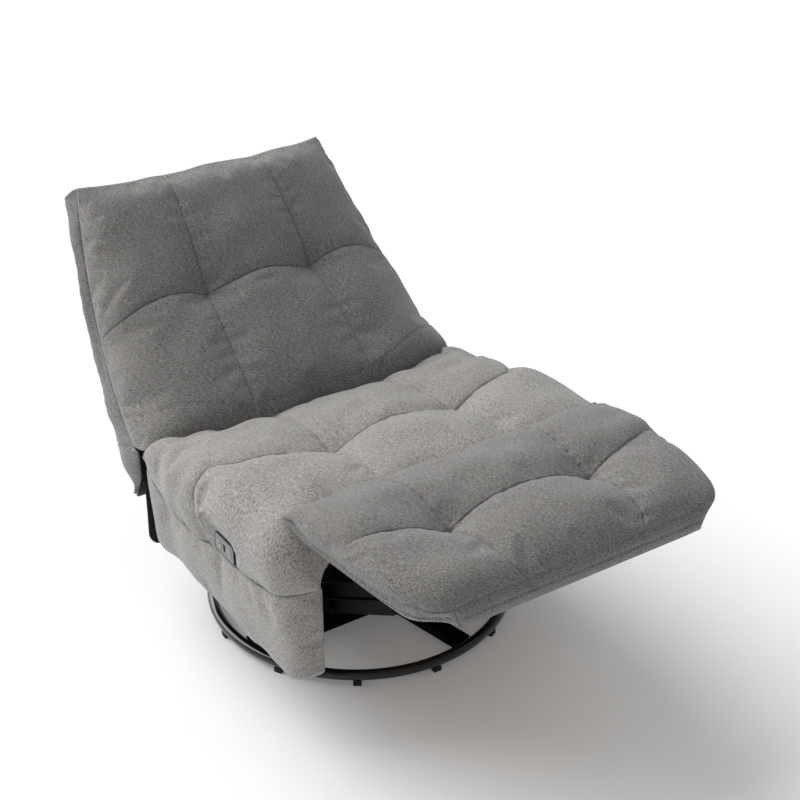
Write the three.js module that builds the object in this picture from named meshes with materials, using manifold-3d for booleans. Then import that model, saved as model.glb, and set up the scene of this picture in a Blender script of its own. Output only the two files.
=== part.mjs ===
// Swivel glider recliner, shown leaned back with its footrest out.
// Millimetres, +Z up. The sitter faces -Y, so the sitter's left is +X.
// Pieces are drawn about the swivel axis at x = y = 0 with the floor at z = 0.
// The last lines centre the whole chair over its own outline on the floor.

import * as THREE from 'three';
import { mergeVertices } from 'three/addons/utils/BufferGeometryUtils.js';
import Module from 'manifold-3d';

const wasm = await Module();
wasm.setup();

// Overall width, and what is set in from it
const SEAT_HALF_WIDTH = 385;
const PANEL_THICKNESS = 75;
const HEAD_SPACE = 10;
const PANEL_INNER_X = SEAT_HALF_WIDTH - PANEL_THICKNESS;
const SIDE_PLATE_OUTER_X = PANEL_INNER_X - HEAD_SPACE;

// Clearances
const GAP = 0.3;
const PIVOT_CLEARANCE = 0.35;
const LAYER_GAP = 1.7;
const OVERRUN = 10;

// Sheet steel
const SHEET = 4;
const SIDE_PLATE_X = SIDE_PLATE_OUTER_X - SHEET / 2;
const SIDE_PLATE_INNER_X = SIDE_PLATE_OUTER_X - SHEET;

// Floor ring and cross
const RING_RADIUS = 317.5;
const RING_TUBE_RADIUS = 12.5;
const RING_HEIGHT = 22;
const RING_SIDES = 10;
const RING_STEPS = 60;
const CROSS_BAR_WIDTH = 36;
const CROSS_BAR_HEIGHT = 20;
const CROSS_TURN = THREE.MathUtils.degToRad(12);
const FOOT_COUNT = 12;
const FOOT_FIRST_ANGLE = THREE.MathUtils.degToRad(-2.9);
const FOOT_WIDTH = 16;
const FOOT_LENGTH = 17;

// Swivel plates
const PLATE_WIDTH = 200;
const PLATE_CORNER = 22;
const PLATE_THICKNESS = 4;
const RACE_RADIUS = 72;
const RACE_WIDTH = 14;
const RACE_HEIGHT = 6;
const PIN_RADIUS = 8;

// Glider frame and its hanging links
const GLIDER_WALL_X = 202;
const GLIDER_HALF_LENGTH = 140;
const GLIDER_BORE_RADIUS = 60;
const GLIDE_PIVOT_Y = 80;
const GLIDE_PIVOT_HEIGHT = 215;
const GLIDE_LINK_LENGTH = 80;
const GLIDE_EYE_RADIUS = 16;
const GLIDE_LINK_RADIUS = 13;
const GLIDER_FOOT_RADIUS = 8;

// Rivets
const RIVET_RADIUS = 5;
const RIVET_HEAD_RADIUS = 8;
const RIVET_HEAD_THICKNESS = 3;
const SMALL_HEAD_THICKNESS = 1;
const RIVET_SIDES = 12;

// Platform frame
const CROSS_TUBE_RADIUS = 12.5;
const CROSS_TUBE_FRONT_Y = 30;
const CROSS_TUBE_REAR_Y = 170;
const LIGHTENING_RADIUS = 24;
const TUBE_EYE_RADIUS = 20;

// Footrest linkage, leaned out. Places are y, z of each pivot
const LIFT_PIVOT = [-182, 338];
const GUIDE_OFFSET = [59.5, -35.9];
const LIFT_LENGTH = 141;
const LIFT_REST_ANGLE = THREE.MathUtils.degToRad(189.2);
const LIFT_TRAVEL = THREE.MathUtils.degToRad(88);
const TOGGLE_SPACING = 50.5;
const EXTENSION_LENGTH = 240.5;
const EXTENSION_ANGLE = THREE.MathUtils.degToRad(149);
const LINK_RADIUS = 13;
const LINK_SHEET = 4;
const DRIVE_TUBE_RADIUS = 12;
const BRACKET_TOP_Z = 471.2;
const BRACKET_REACH = 55;
const BRACKET_FLANGE = 34;
const BRACKET_SHEET = 2.6;
const BRACKET_TIP_RADIUS = 5;

// Actuator
const LEVER_LENGTH = 80;
const LEVER_REST_ANGLE = THREE.MathUtils.degToRad(-134);
const LEVER_GAP = 24;
const LEVER_SHEET = 4;
const LEVER_PIN_RADIUS = 5;
const YOKE_THICKNESS = 15;
const YOKE_CLEARANCE = 3;
const YOKE_RADIUS = 18;
const ROD_RADIUS = 9;
const HOUSING_RADIUS = 18;
const HOUSING_FRONT_Y = -98;
const HOUSING_REAR_Y = 180;
const HOUSING_BORE_DEPTH = 165;
const ROD_ENGAGEMENT = 48;
const MOTOR_OFFSET = 46;
const MOTOR_RADIUS = 24;
const MOTOR_LENGTH = 96;
const GEARBOX_LENGTH = 46;
const GEARBOX_HEIGHT = 40;
const BORE_CLEARANCE = 0.4;

// Control box
const BOX_WIDTH = 100;
const BOX_LENGTH = 150;
const BOX_HEIGHT = 34;
const BOX_CENTRE_X = -130;
const BOX_FRONT_Y = 22;
const INLET_RADIUS = 6;
const INLET_DEPTH = 9;
const INLET_PIN_RADIUS = 1.5;

// Seat rails and springs
const RAIL_HALF_LENGTH = SIDE_PLATE_INNER_X - GAP;
const RAIL_THICKNESS = 21;
const FRONT_RAIL_Y = -285;
const FRONT_RAIL_TOP = 402;
const FRONT_RAIL_DEPTH = 30;
const REAR_RAIL_Y = 124;
const REAR_RAIL_TOP = 352.5;
const REAR_RAIL_DEPTH = 28;
const SPRING_COUNT = 4;
const SPRING_SPACING = 132;
const SPRING_WIRE_RADIUS = 1.9;
const SPRING_AMPLITUDE = 22;
const SPRING_WAVES = 6;
const SPRING_STEPS_PER_WAVE = 8;

// Seat cushion
const SEAT_FRONT_Y = -390;
const SEAT_REAR_Y = 215;
const SEAT_SLAB_REAR_Y = 150;
const SEAT_SEAM_Z = 335;
const SEAT_CROWN = 165;
const SEAT_SHOULDER_POWER = 5;
const SEAT_COLUMN_X = 140;
const SEAT_ROW_Y = -131;
const SEAT_ROW_SIDE_SHIFT = 48;
const WRAP_SETBACK = 5;
const WRAP_INNER_X = PANEL_INNER_X + WRAP_SETBACK;
const SLAB_EDGE_X = SIDE_PLATE_OUTER_X;
const WRAP_RAMP = 45;
const CORNER_RADIUS = 62;
const NOSE_DROP = 28;
const NOSE_LENGTH = 50;
const WRAP_STEP = 12;
const SEAM_DEPTH = 12;
const TUFT_DEPTH = 24;
const SEAM_SOFTNESS = 38;
const TUFT_SOFTNESS = 60;

// Side panels
const PANEL_BOTTOM_Z = 140;
const PANEL_CORNER_RISE = 34;
const PANEL_CORNER_RISE_LENGTH = 85;
const PANEL_REAR_CORNER = 14;
const PANEL_LEAN = 26;
const PANEL_BOTTOM_EDGE = 12;
const STANDOFF_RADIUS = 9;

// Rear lining
const LINING_SETBACK = 19;
const LINING_HALF_WIDTH = SEAT_HALF_WIDTH - LINING_SETBACK;
const LINING_THICKNESS = 12;
const LINING_BOTTOM_Z = 118;
const LINING_TOP_Z = 300;
const LINING_CORNER = 30;

// Control plate on the sitter's right
const CONTROL_Y = -146;
const CONTROL_Z = 345;
const CONTROL_LENGTH = 72;
const CONTROL_HEIGHT = 38;
const CONTROL_THICKNESS = 3.5;
const CONTROL_CORNER = 6;
const BUTTON_RADIUS = 9.5;
const BUTTON_SPACING = 40;
const BUTTON_THICKNESS = 2.2;
const BUTTON_PROUD = 0.8;
const BUTTON_CLEARANCE = 0.3;
const SOCKET_WIDTH = 7;
const SOCKET_HEIGHT = 17;
const SOCKET_WALL = 1.2;
const SOCKET_DEPTH = 2.2;

// Footrest board and pad
const BOARD_THICKNESS = 12;
const BOARD_REAR_Y = -400;
const BOARD_FRONT_Y = -705;
const BOARD_REAR_HALF_WIDTH = SIDE_PLATE_OUTER_X - OVERRUN;
const BOARD_TAPER = 44;
const BOARD_FRONT_HALF_WIDTH = BOARD_REAR_HALF_WIDTH - BOARD_TAPER;
const BOARD_CORNER = 20;
const PAD_REAR_Y = -324;
const PAD_FRONT_Y = -748;
const PAD_SETBACK = 29;
const PAD_TAPER = 60;
const PAD_REAR_HALF_WIDTH = SEAT_HALF_WIDTH - PAD_SETBACK;
const PAD_FRONT_HALF_WIDTH = PAD_REAR_HALF_WIDTH - PAD_TAPER;
const PAD_BEVEL = 30;
const PAD_CROWN = 86;
const PAD_CROWN_POWER = 3.4;
const PAD_COLUMN_X = 155;
const PAD_ROW_Y = -551;
const PAD_SEAM_DEPTH = 11;
const PAD_TUFT_DEPTH = 22;
const PAD_SEAM_SOFTNESS = 34;
const PAD_TUFT_SOFTNESS = 56;

// Back, leaned back. Places are y, z in the chair's middle plane
const BACK_PIVOT = [172, 392];
const BACK_EYE_RADIUS = 14;
const BACK_FOOT = [160, 409];
const BACK_HEAD = [588, 784];
const BACK_BOTTOM_EDGE = [255, 366];
const BACK_MIDDLE_EDGE = [462, 531];
const BACK_TOP_EDGE = [633, 777];
const BACK_REAR_FOOT = [360, 330];
const BACK_REAR_HEAD = [669, 736];
const BACK_SKIRT_TIP = [255, 241];
const BACK_OVERHANG = 1;
const BACK_TAPER = 89;
const BACK_BOTTOM_HALF_WIDTH = SEAT_HALF_WIDTH + BACK_OVERHANG;
const BACK_TOP_HALF_WIDTH = BACK_BOTTOM_HALF_WIDTH - BACK_TAPER;
const BACK_CROWN_POWER = 2.6;
const BACK_PUFF = 22;
const BACK_COLUMN_X = 130;
const BACK_ROW_SHARE = 0.47;
const BACK_SEAM_DEPTH = 13;
const BACK_TUFT_DEPTH = 24;
const BACK_SEAM_SOFTNESS = 42;
const BACK_TUFT_SOFTNESS = 72;
const BACK_LIP = 20;
const BACK_PAD_DEPTH = 54.7;
const BACK_WING_INNER_X = SIDE_PLATE_X;
const BACK_WING_WIDTH = 34;
const BACK_SHELL = 4;
const SKIRT_THICKNESS = 7;
const BACK_BOARD_THICKNESS = 18;
const BACK_BOARD_FOOT = 22;
const BACK_BOARD_LENGTH = 480;
const BACK_BOARD_STATIONS = 6;
const BACK_BOARD_MARGIN = 42;
const BACK_SLAT_COUNT = 3;
const BACK_SLAT_WIDTH = 40;
const BACK_RAIL_WIDTH = 55;
const BRACKET_SLOT_CLEARANCE = 4;
const BRACKET_ARM_LENGTH = 120;
const BRACKET_ARM_RADIUS = 17;
const SLOT_HALF_WIDTH = 11;

const X_AXIS = new THREE.Vector3(1, 0, 0);
const Y_AXIS = new THREE.Vector3(0, 1, 0);
const Z_AXIS = new THREE.Vector3(0, 0, 1);
const DISC_POINTS = 20;
const CURVE_STEPS = 6;

// Materials
const finish = (color, roughness, metalness) =>
  new THREE.MeshStandardMaterial({ color, roughness, metalness });
const seatFabric = finish(0x86827f, 0.95, 0);
const padFabric = finish(0x6f6c6a, 0.95, 0);
const backFabric = finish(0x605e5e, 0.95, 0);
const lining = finish(0x1b1b1c, 0.95, 0);
const blackSteel = finish(0x0e0e0f, 0.35, 0.8);
const greySteel = finish(0x8f9093, 0.4, 0.9);
const timber = finish(0xb08a5c, 0.8, 0);
const rubber = finish(0x101010, 0.85, 0);
const blackPlastic = finish(0x161617, 0.5, 0);
const controlGrey = finish(0x8b8886, 0.5, 0.2);

// Geometry tools

const tagged = (geometry) => {
  const bare = geometry.clone();
  bare.deleteAttribute('normal');
  bare.deleteAttribute('uv');
  const merged = mergeVertices(bare);
  const kept = [];
  const index = merged.index.array;
  for (let i = 0; i < index.length; i += 3) {
    const [a, b, c] = [index[i], index[i + 1], index[i + 2]];
    if (a !== b && b !== c && c !== a) kept.push(a, b, c);
  }
  merged.setIndex(kept);
  return merged;
};

const signedVolume = (geometry) => {
  const place = geometry.attributes.position;
  const index = geometry.index.array;
  const corner = [new THREE.Vector3(), new THREE.Vector3(), new THREE.Vector3()];
  let volume = 0;
  for (let i = 0; i < index.length; i += 3) {
    corner.forEach((point, k) => point.fromBufferAttribute(place, index[i + k]));
    volume += corner[0].dot(corner[1].clone().cross(corner[2]));
  }
  return volume;
};

const outward = (geometry) => {
  const clean = tagged(geometry);
  if (signedVolume(clean) < 0) clean.setIndex(Array.from(clean.index.array).reverse());
  return clean;
};

const solidOf = (geometry) => {
  const clean = outward(geometry);
  return new wasm.Manifold(new wasm.Mesh({
    numProp: 3,
    vertProperties: new Float32Array(clean.attributes.position.array),
    triVerts: new Uint32Array(clean.index.array),
  }));
};

const geometryOf = (solid) => {
  const mesh = solid.getMesh();
  const geometry = new THREE.BufferGeometry();
  geometry.setAttribute('position', new THREE.BufferAttribute(new Float32Array(mesh.vertProperties), 3));
  geometry.setIndex(new THREE.BufferAttribute(new Uint32Array(mesh.triVerts), 1));
  return geometry;
};

const joined = (...geometries) =>
  geometryOf(geometries.map(solidOf).reduce((whole, next) => whole.add(next)));
const cut = (geometry, ...tools) =>
  geometryOf(tools.map(solidOf).reduce((whole, tool) => whole.subtract(tool), solidOf(geometry)));

const mirrored = (geometry) => outward(tagged(geometry).scale(-1, 1, 1));

const box = (x0, x1, y0, y1, z0, z1) =>
  new THREE.BoxGeometry(x1 - x0, y1 - y0, z1 - z0)
    .translate((x0 + x1) / 2, (y0 + y1) / 2, (z0 + z1) / 2);

const convexHull = (points) => {
  const sorted = [...points].sort((a, b) => a.x - b.x || a.y - b.y);
  const turn = (a, b, c) => (b.x - a.x) * (c.y - a.y) - (b.y - a.y) * (c.x - a.x);
  const chain = (list) => {
    const line = [];
    for (const point of list) {
      while (line.length > 1 && turn(line.at(-2), line.at(-1), point) <= 0) line.pop();
      line.push(point);
    }
    line.pop();
    return line;
  };
  return [...chain(sorted), ...chain(sorted.reverse())];
};

// An outline drawn round discs, as a belt runs round pulleys. A disc is [y, z, radius]
const belt = (...discs) => {
  const points = [];
  for (const [y, z, radius] of discs) {
    for (let i = 0; i < DISC_POINTS; i += 1) {
      const angle = (2 * Math.PI * i) / DISC_POINTS;
      points.push(new THREE.Vector2(y + radius * Math.cos(angle), z + radius * Math.sin(angle)));
    }
  }
  return convexHull(points);
};

const circleHole = (u, v, radius) => {
  const hole = new THREE.Path();
  hole.absarc(u, v, radius, 0, 2 * Math.PI, true);
  return hole;
};

// A flat sheet with its outline in y, z, centred on a place along x
const sheetAcrossX = (outline, holes, x, thickness = SHEET) => {
  const shape = new THREE.Shape(outline);
  shape.holes = holes.map(([y, z, radius]) => circleHole(y, z, radius));
  const sheet = new THREE.ExtrudeGeometry(shape, {
    depth: thickness, bevelEnabled: false, curveSegments: CURVE_STEPS,
  });
  sheet.applyMatrix4(new THREE.Matrix4().makeBasis(Y_AXIS, Z_AXIS, X_AXIS));
  return sheet.translate(x - thickness / 2, 0, 0);
};

const roundedRectangle = (x0, x1, y0, y1, radius) => {
  const shape = new THREE.Shape();
  shape.absarc(x1 - radius, y0 + radius, radius, -Math.PI / 2, 0, false);
  shape.absarc(x1 - radius, y1 - radius, radius, 0, Math.PI / 2, false);
  shape.absarc(x0 + radius, y1 - radius, radius, Math.PI / 2, Math.PI, false);
  shape.absarc(x0 + radius, y0 + radius, radius, Math.PI, 1.5 * Math.PI, false);
  return shape;
};

const flatPlate = (shape, z, thickness, segments = CURVE_STEPS) =>
  new THREE.ExtrudeGeometry(shape, { depth: thickness, bevelEnabled: false, curveSegments: segments })
    .translate(0, 0, z);

const rod = (radius, length, sides = RIVET_SIDES) =>
  new THREE.CylinderGeometry(radius, radius, length, sides);
const rodAlongX = (y, z, radius, x0, x1, sides = RIVET_SIDES) =>
  rod(radius, x1 - x0, sides).rotateZ(Math.PI / 2).translate((x0 + x1) / 2, y, z);
const rodAlongY = (x, z, radius, y0, y1, sides = RIVET_SIDES) =>
  rod(radius, y1 - y0, sides).translate(x, (y0 + y1) / 2, z);

// A rivet along x whose head stands at its outer or its inner end
const rivet = ([y, z], x0, x1, headAtOuter, headThickness = RIVET_HEAD_THICKNESS) => {
  const shank = rodAlongX(y, z, RIVET_RADIUS, x0, x1);
  const headStart = headAtOuter ? x1 : x0 - headThickness;
  return joined(shank, rodAlongX(y, z, RIVET_HEAD_RADIUS, headStart - GAP / 2, headStart + headThickness));
};

// A closed skin through rings of equal length, capped at both ends.
// The flatten function gives a ring's outline on the plane where its cap is drawn
const loft = (rings, flatten) => {
  const count = rings[0].length;
  const places = rings.flat().flatMap((point) => [point.x, point.y, point.z]);
  const faces = [];
  for (let j = 0; j + 1 < rings.length; j += 1) {
    for (let i = 0; i < count; i += 1) {
      const a = j * count + i;
      const b = j * count + ((i + 1) % count);
      faces.push(a, b, b + count, a, b + count, a + count);
    }
  }
  const cap = (ring, start, withRing) => {
    const flat = ring.map(flatten);
    const forward = !THREE.ShapeUtils.isClockWise(flat);
    const order = flat.map((_, i) => (forward ? i : flat.length - 1 - i));
    for (const corners of wasm.triangulate([order.map((i) => flat[i].toArray())])) {
      const [a, b, c] = corners.map((corner) => start + order[corner]);
      if (forward === withRing) faces.push(a, b, c);
      else faces.push(a, c, b);
    }
  };
  cap(rings[0], 0, false);
  cap(rings.at(-1), (rings.length - 1) * count, true);
  const geometry = new THREE.BufferGeometry();
  geometry.setAttribute('position', new THREE.Float32BufferAttribute(places, 3));
  geometry.setIndex(faces);
  return outward(geometry);
};

const interpolate = (table, at) => {
  const next = table.findIndex(([where]) => where >= at);
  if (next < 0) return table.at(-1)[1];
  if (next === 0) return table[0][1];
  const [before, after] = [table[next - 1], table[next]];
  const share = (at - before[0]) / (after[0] - before[0]);
  return THREE.MathUtils.lerp(before[1], after[1], share);
};

const vee = (distance, softness) => Math.exp(-Math.abs(distance) / softness);
const smoothShare = (at, from, to) => THREE.MathUtils.smoothstep(at, from, to);

const chair = new THREE.Group();
const add = (name, geometry, material) => {
  const mesh = new THREE.Mesh(geometry, material);
  mesh.name = name;
  chair.add(mesh);
  return mesh;
};
const addPair = (name, geometry, material) => {
  add(`${name}_left`, geometry, material);
  add(`${name}_right`, mirrored(geometry), material);
};

// Base

const ringTube = (radius) => {
  const profile = [];
  for (let i = 0; i <= RING_SIDES; i += 1) {
    const angle = (2 * Math.PI * i) / RING_SIDES;
    profile.push(new THREE.Vector2(RING_RADIUS + radius * Math.cos(angle), radius * Math.sin(angle)));
  }
  profile[RING_SIDES] = profile[0].clone();
  return new THREE.LatheGeometry(profile, RING_STEPS).rotateX(Math.PI / 2).translate(0, 0, RING_HEIGHT);
};

const crossTop = RING_HEIGHT + CROSS_BAR_HEIGHT / 2;

const makeBase = () => {
  add('base_ring', outward(ringTube(RING_TUBE_RADIUS)), blackSteel);

  const bar = box(-RING_RADIUS, RING_RADIUS, -CROSS_BAR_WIDTH / 2, CROSS_BAR_WIDTH / 2,
    RING_HEIGHT - CROSS_BAR_HEIGHT / 2, crossTop);
  const cross = joined(bar, bar.clone().rotateZ(Math.PI / 2));
  cross.rotateZ(CROSS_TURN);
  add('base_cross', cut(cross, ringTube(RING_TUBE_RADIUS + GAP)), blackSteel);

  const cradle = RING_TUBE_RADIUS + GAP;
  const half = FOOT_WIDTH / 2;
  const shape = new THREE.Shape();
  shape.moveTo(-half, 0);
  shape.lineTo(half, 0);
  const reach = Math.acos(half / cradle);
  shape.absarc(0, RING_HEIGHT, cradle, -reach, -Math.PI + reach, true);
  for (let i = 0; i < FOOT_COUNT; i += 1) {
    const foot = new THREE.ExtrudeGeometry(shape, {
      depth: FOOT_LENGTH, bevelEnabled: false, curveSegments: CURVE_STEPS,
    });
    foot.translate(0, 0, -FOOT_LENGTH / 2).rotateX(Math.PI / 2).translate(RING_RADIUS, 0, 0);
    foot.rotateZ(FOOT_FIRST_ANGLE + (2 * Math.PI * i) / FOOT_COUNT);
    add(`foot_${String(i + 1).padStart(2, '0')}`, outward(foot), rubber);
  }
};

// Swivel plates, one over the other with the ball race between them

const lowerPlateZ = crossTop + GAP;
const raceTop = lowerPlateZ + PLATE_THICKNESS + RACE_HEIGHT;
const upperPlateZ = raceTop + GAP;
const upperPlateTop = upperPlateZ + PLATE_THICKNESS;

const makeSwivel = () => {
  const half = PLATE_WIDTH / 2;
  const square = roundedRectangle(-half, half, -half, half, PLATE_CORNER);
  const race = new THREE.Shape();
  race.absarc(0, 0, RACE_RADIUS + RACE_WIDTH / 2, 0, 2 * Math.PI, false);
  race.holes = [circleHole(0, 0, RACE_RADIUS - RACE_WIDTH / 2)];
  const pinLength = upperPlateTop - lowerPlateZ - GAP;
  const pin = rod(PIN_RADIUS, pinLength).rotateX(Math.PI / 2);
  pin.translate(0, 0, lowerPlateZ + pinLength / 2);
  const raceHeight = PLATE_THICKNESS + RACE_HEIGHT;
  add('swivel_lower_plate', joined(
    flatPlate(square, lowerPlateZ, PLATE_THICKNESS),
    flatPlate(race, lowerPlateZ, raceHeight, 2 * CURVE_STEPS),
    pin,
  ), blackSteel);

  const upper = roundedRectangle(-half, half, -half, half, PLATE_CORNER);
  upper.holes = [circleHole(0, 0, PIN_RADIUS + PIVOT_CLEARANCE)];
  add('swivel_upper_plate', outward(flatPlate(upper, upperPlateZ, PLATE_THICKNESS)), blackSteel);
};

// Glider frame: a floor plate with two side walls that carry the upper glide pivots

const gliderFloorZ = upperPlateTop + GAP;
const linkX = GLIDER_WALL_X + SHEET + LAYER_GAP;
const railX = linkX + SHEET + LAYER_GAP;
const lowerPivotZ = GLIDE_PIVOT_HEIGHT - GLIDE_LINK_LENGTH;

const makeGlider = () => {
  const floorShape = roundedRectangle(-GLIDER_WALL_X, GLIDER_WALL_X,
    -GLIDER_HALF_LENGTH, GLIDER_HALF_LENGTH, PLATE_CORNER / 2);
  floorShape.holes = [circleHole(0, 0, GLIDER_BORE_RADIUS)];
  const floor = flatPlate(floorShape, gliderFloorZ, SHEET);
  const footZ = gliderFloorZ + GLIDER_FOOT_RADIUS;
  const ear = (side) => belt(
    [side * GLIDE_PIVOT_Y, GLIDE_PIVOT_HEIGHT, GLIDE_EYE_RADIUS],
    [side * (GLIDER_HALF_LENGTH - 2 * GLIDER_FOOT_RADIUS), footZ, GLIDER_FOOT_RADIUS],
    [side * GLIDE_EYE_RADIUS * 2, footZ, GLIDER_FOOT_RADIUS],
  );
  const holes = (side) => [
    [side * GLIDE_PIVOT_Y, GLIDE_PIVOT_HEIGHT, RIVET_RADIUS + PIVOT_CLEARANCE],
    [side * GLIDE_PIVOT_Y, (GLIDE_PIVOT_HEIGHT + footZ) / 2 - GLIDE_EYE_RADIUS, GLIDE_EYE_RADIUS],
  ];
  const sill = belt(
    [-GLIDER_HALF_LENGTH + GLIDER_FOOT_RADIUS, footZ, GLIDER_FOOT_RADIUS],
    [GLIDER_HALF_LENGTH - GLIDER_FOOT_RADIUS, footZ, GLIDER_FOOT_RADIUS],
  );
  const pieces = [floor];
  for (const x of [-GLIDER_WALL_X, GLIDER_WALL_X]) {
    pieces.push(sheetAcrossX(sill, [], x));
    for (const side of [-1, 1]) pieces.push(sheetAcrossX(ear(side), holes(side), x));
  }
  add('glider_frame', joined(...pieces), blackSteel);
};

const makeGlideLinks = () => {
  const ends = [['front', -1], ['rear', 1]];
  for (const [end, side] of ends) {
    const y = side * GLIDE_PIVOT_Y;
    const strap = sheetAcrossX(belt(
      [y, GLIDE_PIVOT_HEIGHT, GLIDE_LINK_RADIUS],
      [y, lowerPivotZ, GLIDE_LINK_RADIUS],
    ), [], linkX);
    const inner = GLIDER_WALL_X - SHEET / 2 - GAP;
    const outer = railX + SHEET / 2 + GAP;
    const link = joined(
      strap,
      rivet([y, GLIDE_PIVOT_HEIGHT], inner, linkX, false),
      rivet([y, lowerPivotZ], linkX, outer, true),
    );
    addPair(`glide_link_${end}`, link, greySteel);
  }
};

// Platform: rails hung on the glide links, cross tubes, and the side plates with every pivot

const cradleZ = LIFT_PIVOT[1] + LEVER_LENGTH * Math.sin(LEVER_REST_ANGLE);
const crossTubeZ = cradleZ - HOUSING_RADIUS - GAP - CROSS_TUBE_RADIUS;

const railTopAt = (y) => THREE.MathUtils.mapLinear(y, FRONT_RAIL_Y, REAR_RAIL_Y, FRONT_RAIL_TOP, REAR_RAIL_TOP);

const makePlatform = () => {
  const outline = belt(
    [-GLIDE_PIVOT_Y, lowerPivotZ, GLIDE_EYE_RADIUS],
    [GLIDE_PIVOT_Y, lowerPivotZ, GLIDE_EYE_RADIUS],
    [CROSS_TUBE_FRONT_Y - 2 * CROSS_BAR_WIDTH, crossTubeZ - CROSS_TUBE_RADIUS, GLIDE_EYE_RADIUS],
    [CROSS_TUBE_FRONT_Y, crossTubeZ, TUBE_EYE_RADIUS],
    [CROSS_TUBE_REAR_Y, crossTubeZ, TUBE_EYE_RADIUS],
  );
  const middleZ = (lowerPivotZ + crossTubeZ) / 2;
  const holes = [
    [-GLIDE_PIVOT_Y, lowerPivotZ, RIVET_RADIUS + PIVOT_CLEARANCE],
    [GLIDE_PIVOT_Y, lowerPivotZ, RIVET_RADIUS + PIVOT_CLEARANCE],
    [0, middleZ, LIGHTENING_RADIUS],
    [GLIDE_PIVOT_Y, middleZ, LIGHTENING_RADIUS],
  ];
  const tube = (y) => rodAlongX(y, crossTubeZ, CROSS_TUBE_RADIUS, -SIDE_PLATE_INNER_X + GAP, SIDE_PLATE_INNER_X - GAP);
  add('platform_frame', joined(
    sheetAcrossX(outline, holes, -railX),
    sheetAcrossX(outline, holes, railX),
    tube(CROSS_TUBE_FRONT_Y),
    tube(CROSS_TUBE_REAR_Y),
  ), blackSteel);

  const plateEdge = LINK_RADIUS - GAP;
  const rearLow = [BACK_PIVOT[0] + LINK_RADIUS, crossTubeZ + 3 * TUBE_EYE_RADIUS, GLIDE_EYE_RADIUS];
  const body = belt(
    [FRONT_RAIL_Y, FRONT_RAIL_TOP - RAIL_THICKNESS + BRACKET_TIP_RADIUS, plateEdge],
    [...LIFT_PIVOT, LINK_RADIUS + BRACKET_TIP_RADIUS],
    [...guidePivot, LINK_RADIUS + BRACKET_TIP_RADIUS],
    [CROSS_TUBE_FRONT_Y, crossTubeZ, TUBE_EYE_RADIUS],
    [CROSS_TUBE_REAR_Y, crossTubeZ, TUBE_EYE_RADIUS],
    rearLow,
    [REAR_RAIL_Y, railTopAt(REAR_RAIL_Y) - RAIL_THICKNESS + BRACKET_TIP_RADIUS, BRACKET_TIP_RADIUS * 2],
  );
  const pivotHole = RIVET_RADIUS + PIVOT_CLEARANCE;
  const bodySheet = sheetAcrossX(body, [
    [...LIFT_PIVOT, pivotHole],
    [...guidePivot, pivotHole],
    [CROSS_TUBE_FRONT_Y, crossTubeZ + 2 * TUBE_EYE_RADIUS, GLIDE_EYE_RADIUS],
    [CROSS_TUBE_REAR_Y - 2 * TUBE_EYE_RADIUS, crossTubeZ + 2 * TUBE_EYE_RADIUS, GLIDE_EYE_RADIUS],
  ], SIDE_PLATE_X);
  const ear = sheetAcrossX(belt([...BACK_PIVOT, BACK_EYE_RADIUS], rearLow), [], SIDE_PLATE_X);
  const standoff = (y, z) => rodAlongX(y, z, STANDOFF_RADIUS, SIDE_PLATE_X, PANEL_INNER_X - GAP);
  const standoffs = [
    standoff(CROSS_TUBE_REAR_Y, crossTubeZ + TUBE_EYE_RADIUS),
    standoff(GLIDE_PIVOT_Y / 2, crossTubeZ + STANDOFF_RADIUS),
    standoff(FRONT_RAIL_Y + FRONT_RAIL_DEPTH, FRONT_RAIL_TOP - 2 * RAIL_THICKNESS),
  ];
  const backHole = rodAlongX(...BACK_PIVOT, pivotHole, SIDE_PLATE_INNER_X - OVERRUN, SIDE_PLATE_OUTER_X + OVERRUN);
  addPair('side_plate', cut(joined(bodySheet, ear, ...standoffs), backHole), blackSteel);
};

// Seat rails and sinuous springs

const railSlope = Math.atan2(REAR_RAIL_TOP - FRONT_RAIL_TOP, REAR_RAIL_Y - FRONT_RAIL_Y);

const makeSeatFrame = () => {
  const rail = (y, top, depth) =>
    box(-RAIL_HALF_LENGTH, RAIL_HALF_LENGTH, -depth / 2, depth / 2, -RAIL_THICKNESS, 0)
      .rotateX(railSlope)
      .translate(0, y, top);
  add('seat_rail_front', outward(rail(FRONT_RAIL_Y, FRONT_RAIL_TOP, FRONT_RAIL_DEPTH)), timber);
  add('seat_rail_rear', outward(rail(REAR_RAIL_Y, REAR_RAIL_TOP, REAR_RAIL_DEPTH)), timber);

  const steps = SPRING_WAVES * SPRING_STEPS_PER_WAVE;
  const lift = SPRING_WIRE_RADIUS + GAP;
  for (let i = 0; i < SPRING_COUNT; i += 1) {
    const x = (i - (SPRING_COUNT - 1) / 2) * SPRING_SPACING;
    const points = [];
    for (let j = 0; j <= steps; j += 1) {
      const y = THREE.MathUtils.lerp(FRONT_RAIL_Y, REAR_RAIL_Y, j / steps);
      const swing = SPRING_AMPLITUDE * Math.sin((2 * Math.PI * j) / SPRING_STEPS_PER_WAVE);
      points.push(new THREE.Vector3(x + swing, y, railTopAt(y) + lift));
    }
    const wire = new THREE.Shape();
    wire.absarc(0, 0, SPRING_WIRE_RADIUS, 0, 2 * Math.PI, false);
    const spring = new THREE.ExtrudeGeometry(wire, {
      steps, curveSegments: 2, extrudePath: new THREE.CatmullRomCurve3(points),
    });
    add(`seat_spring_${i + 1}`, outward(spring), greySteel);
  }
};

// Seat cushion. Shares run along its depth from the front, and up from its side seam

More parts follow.
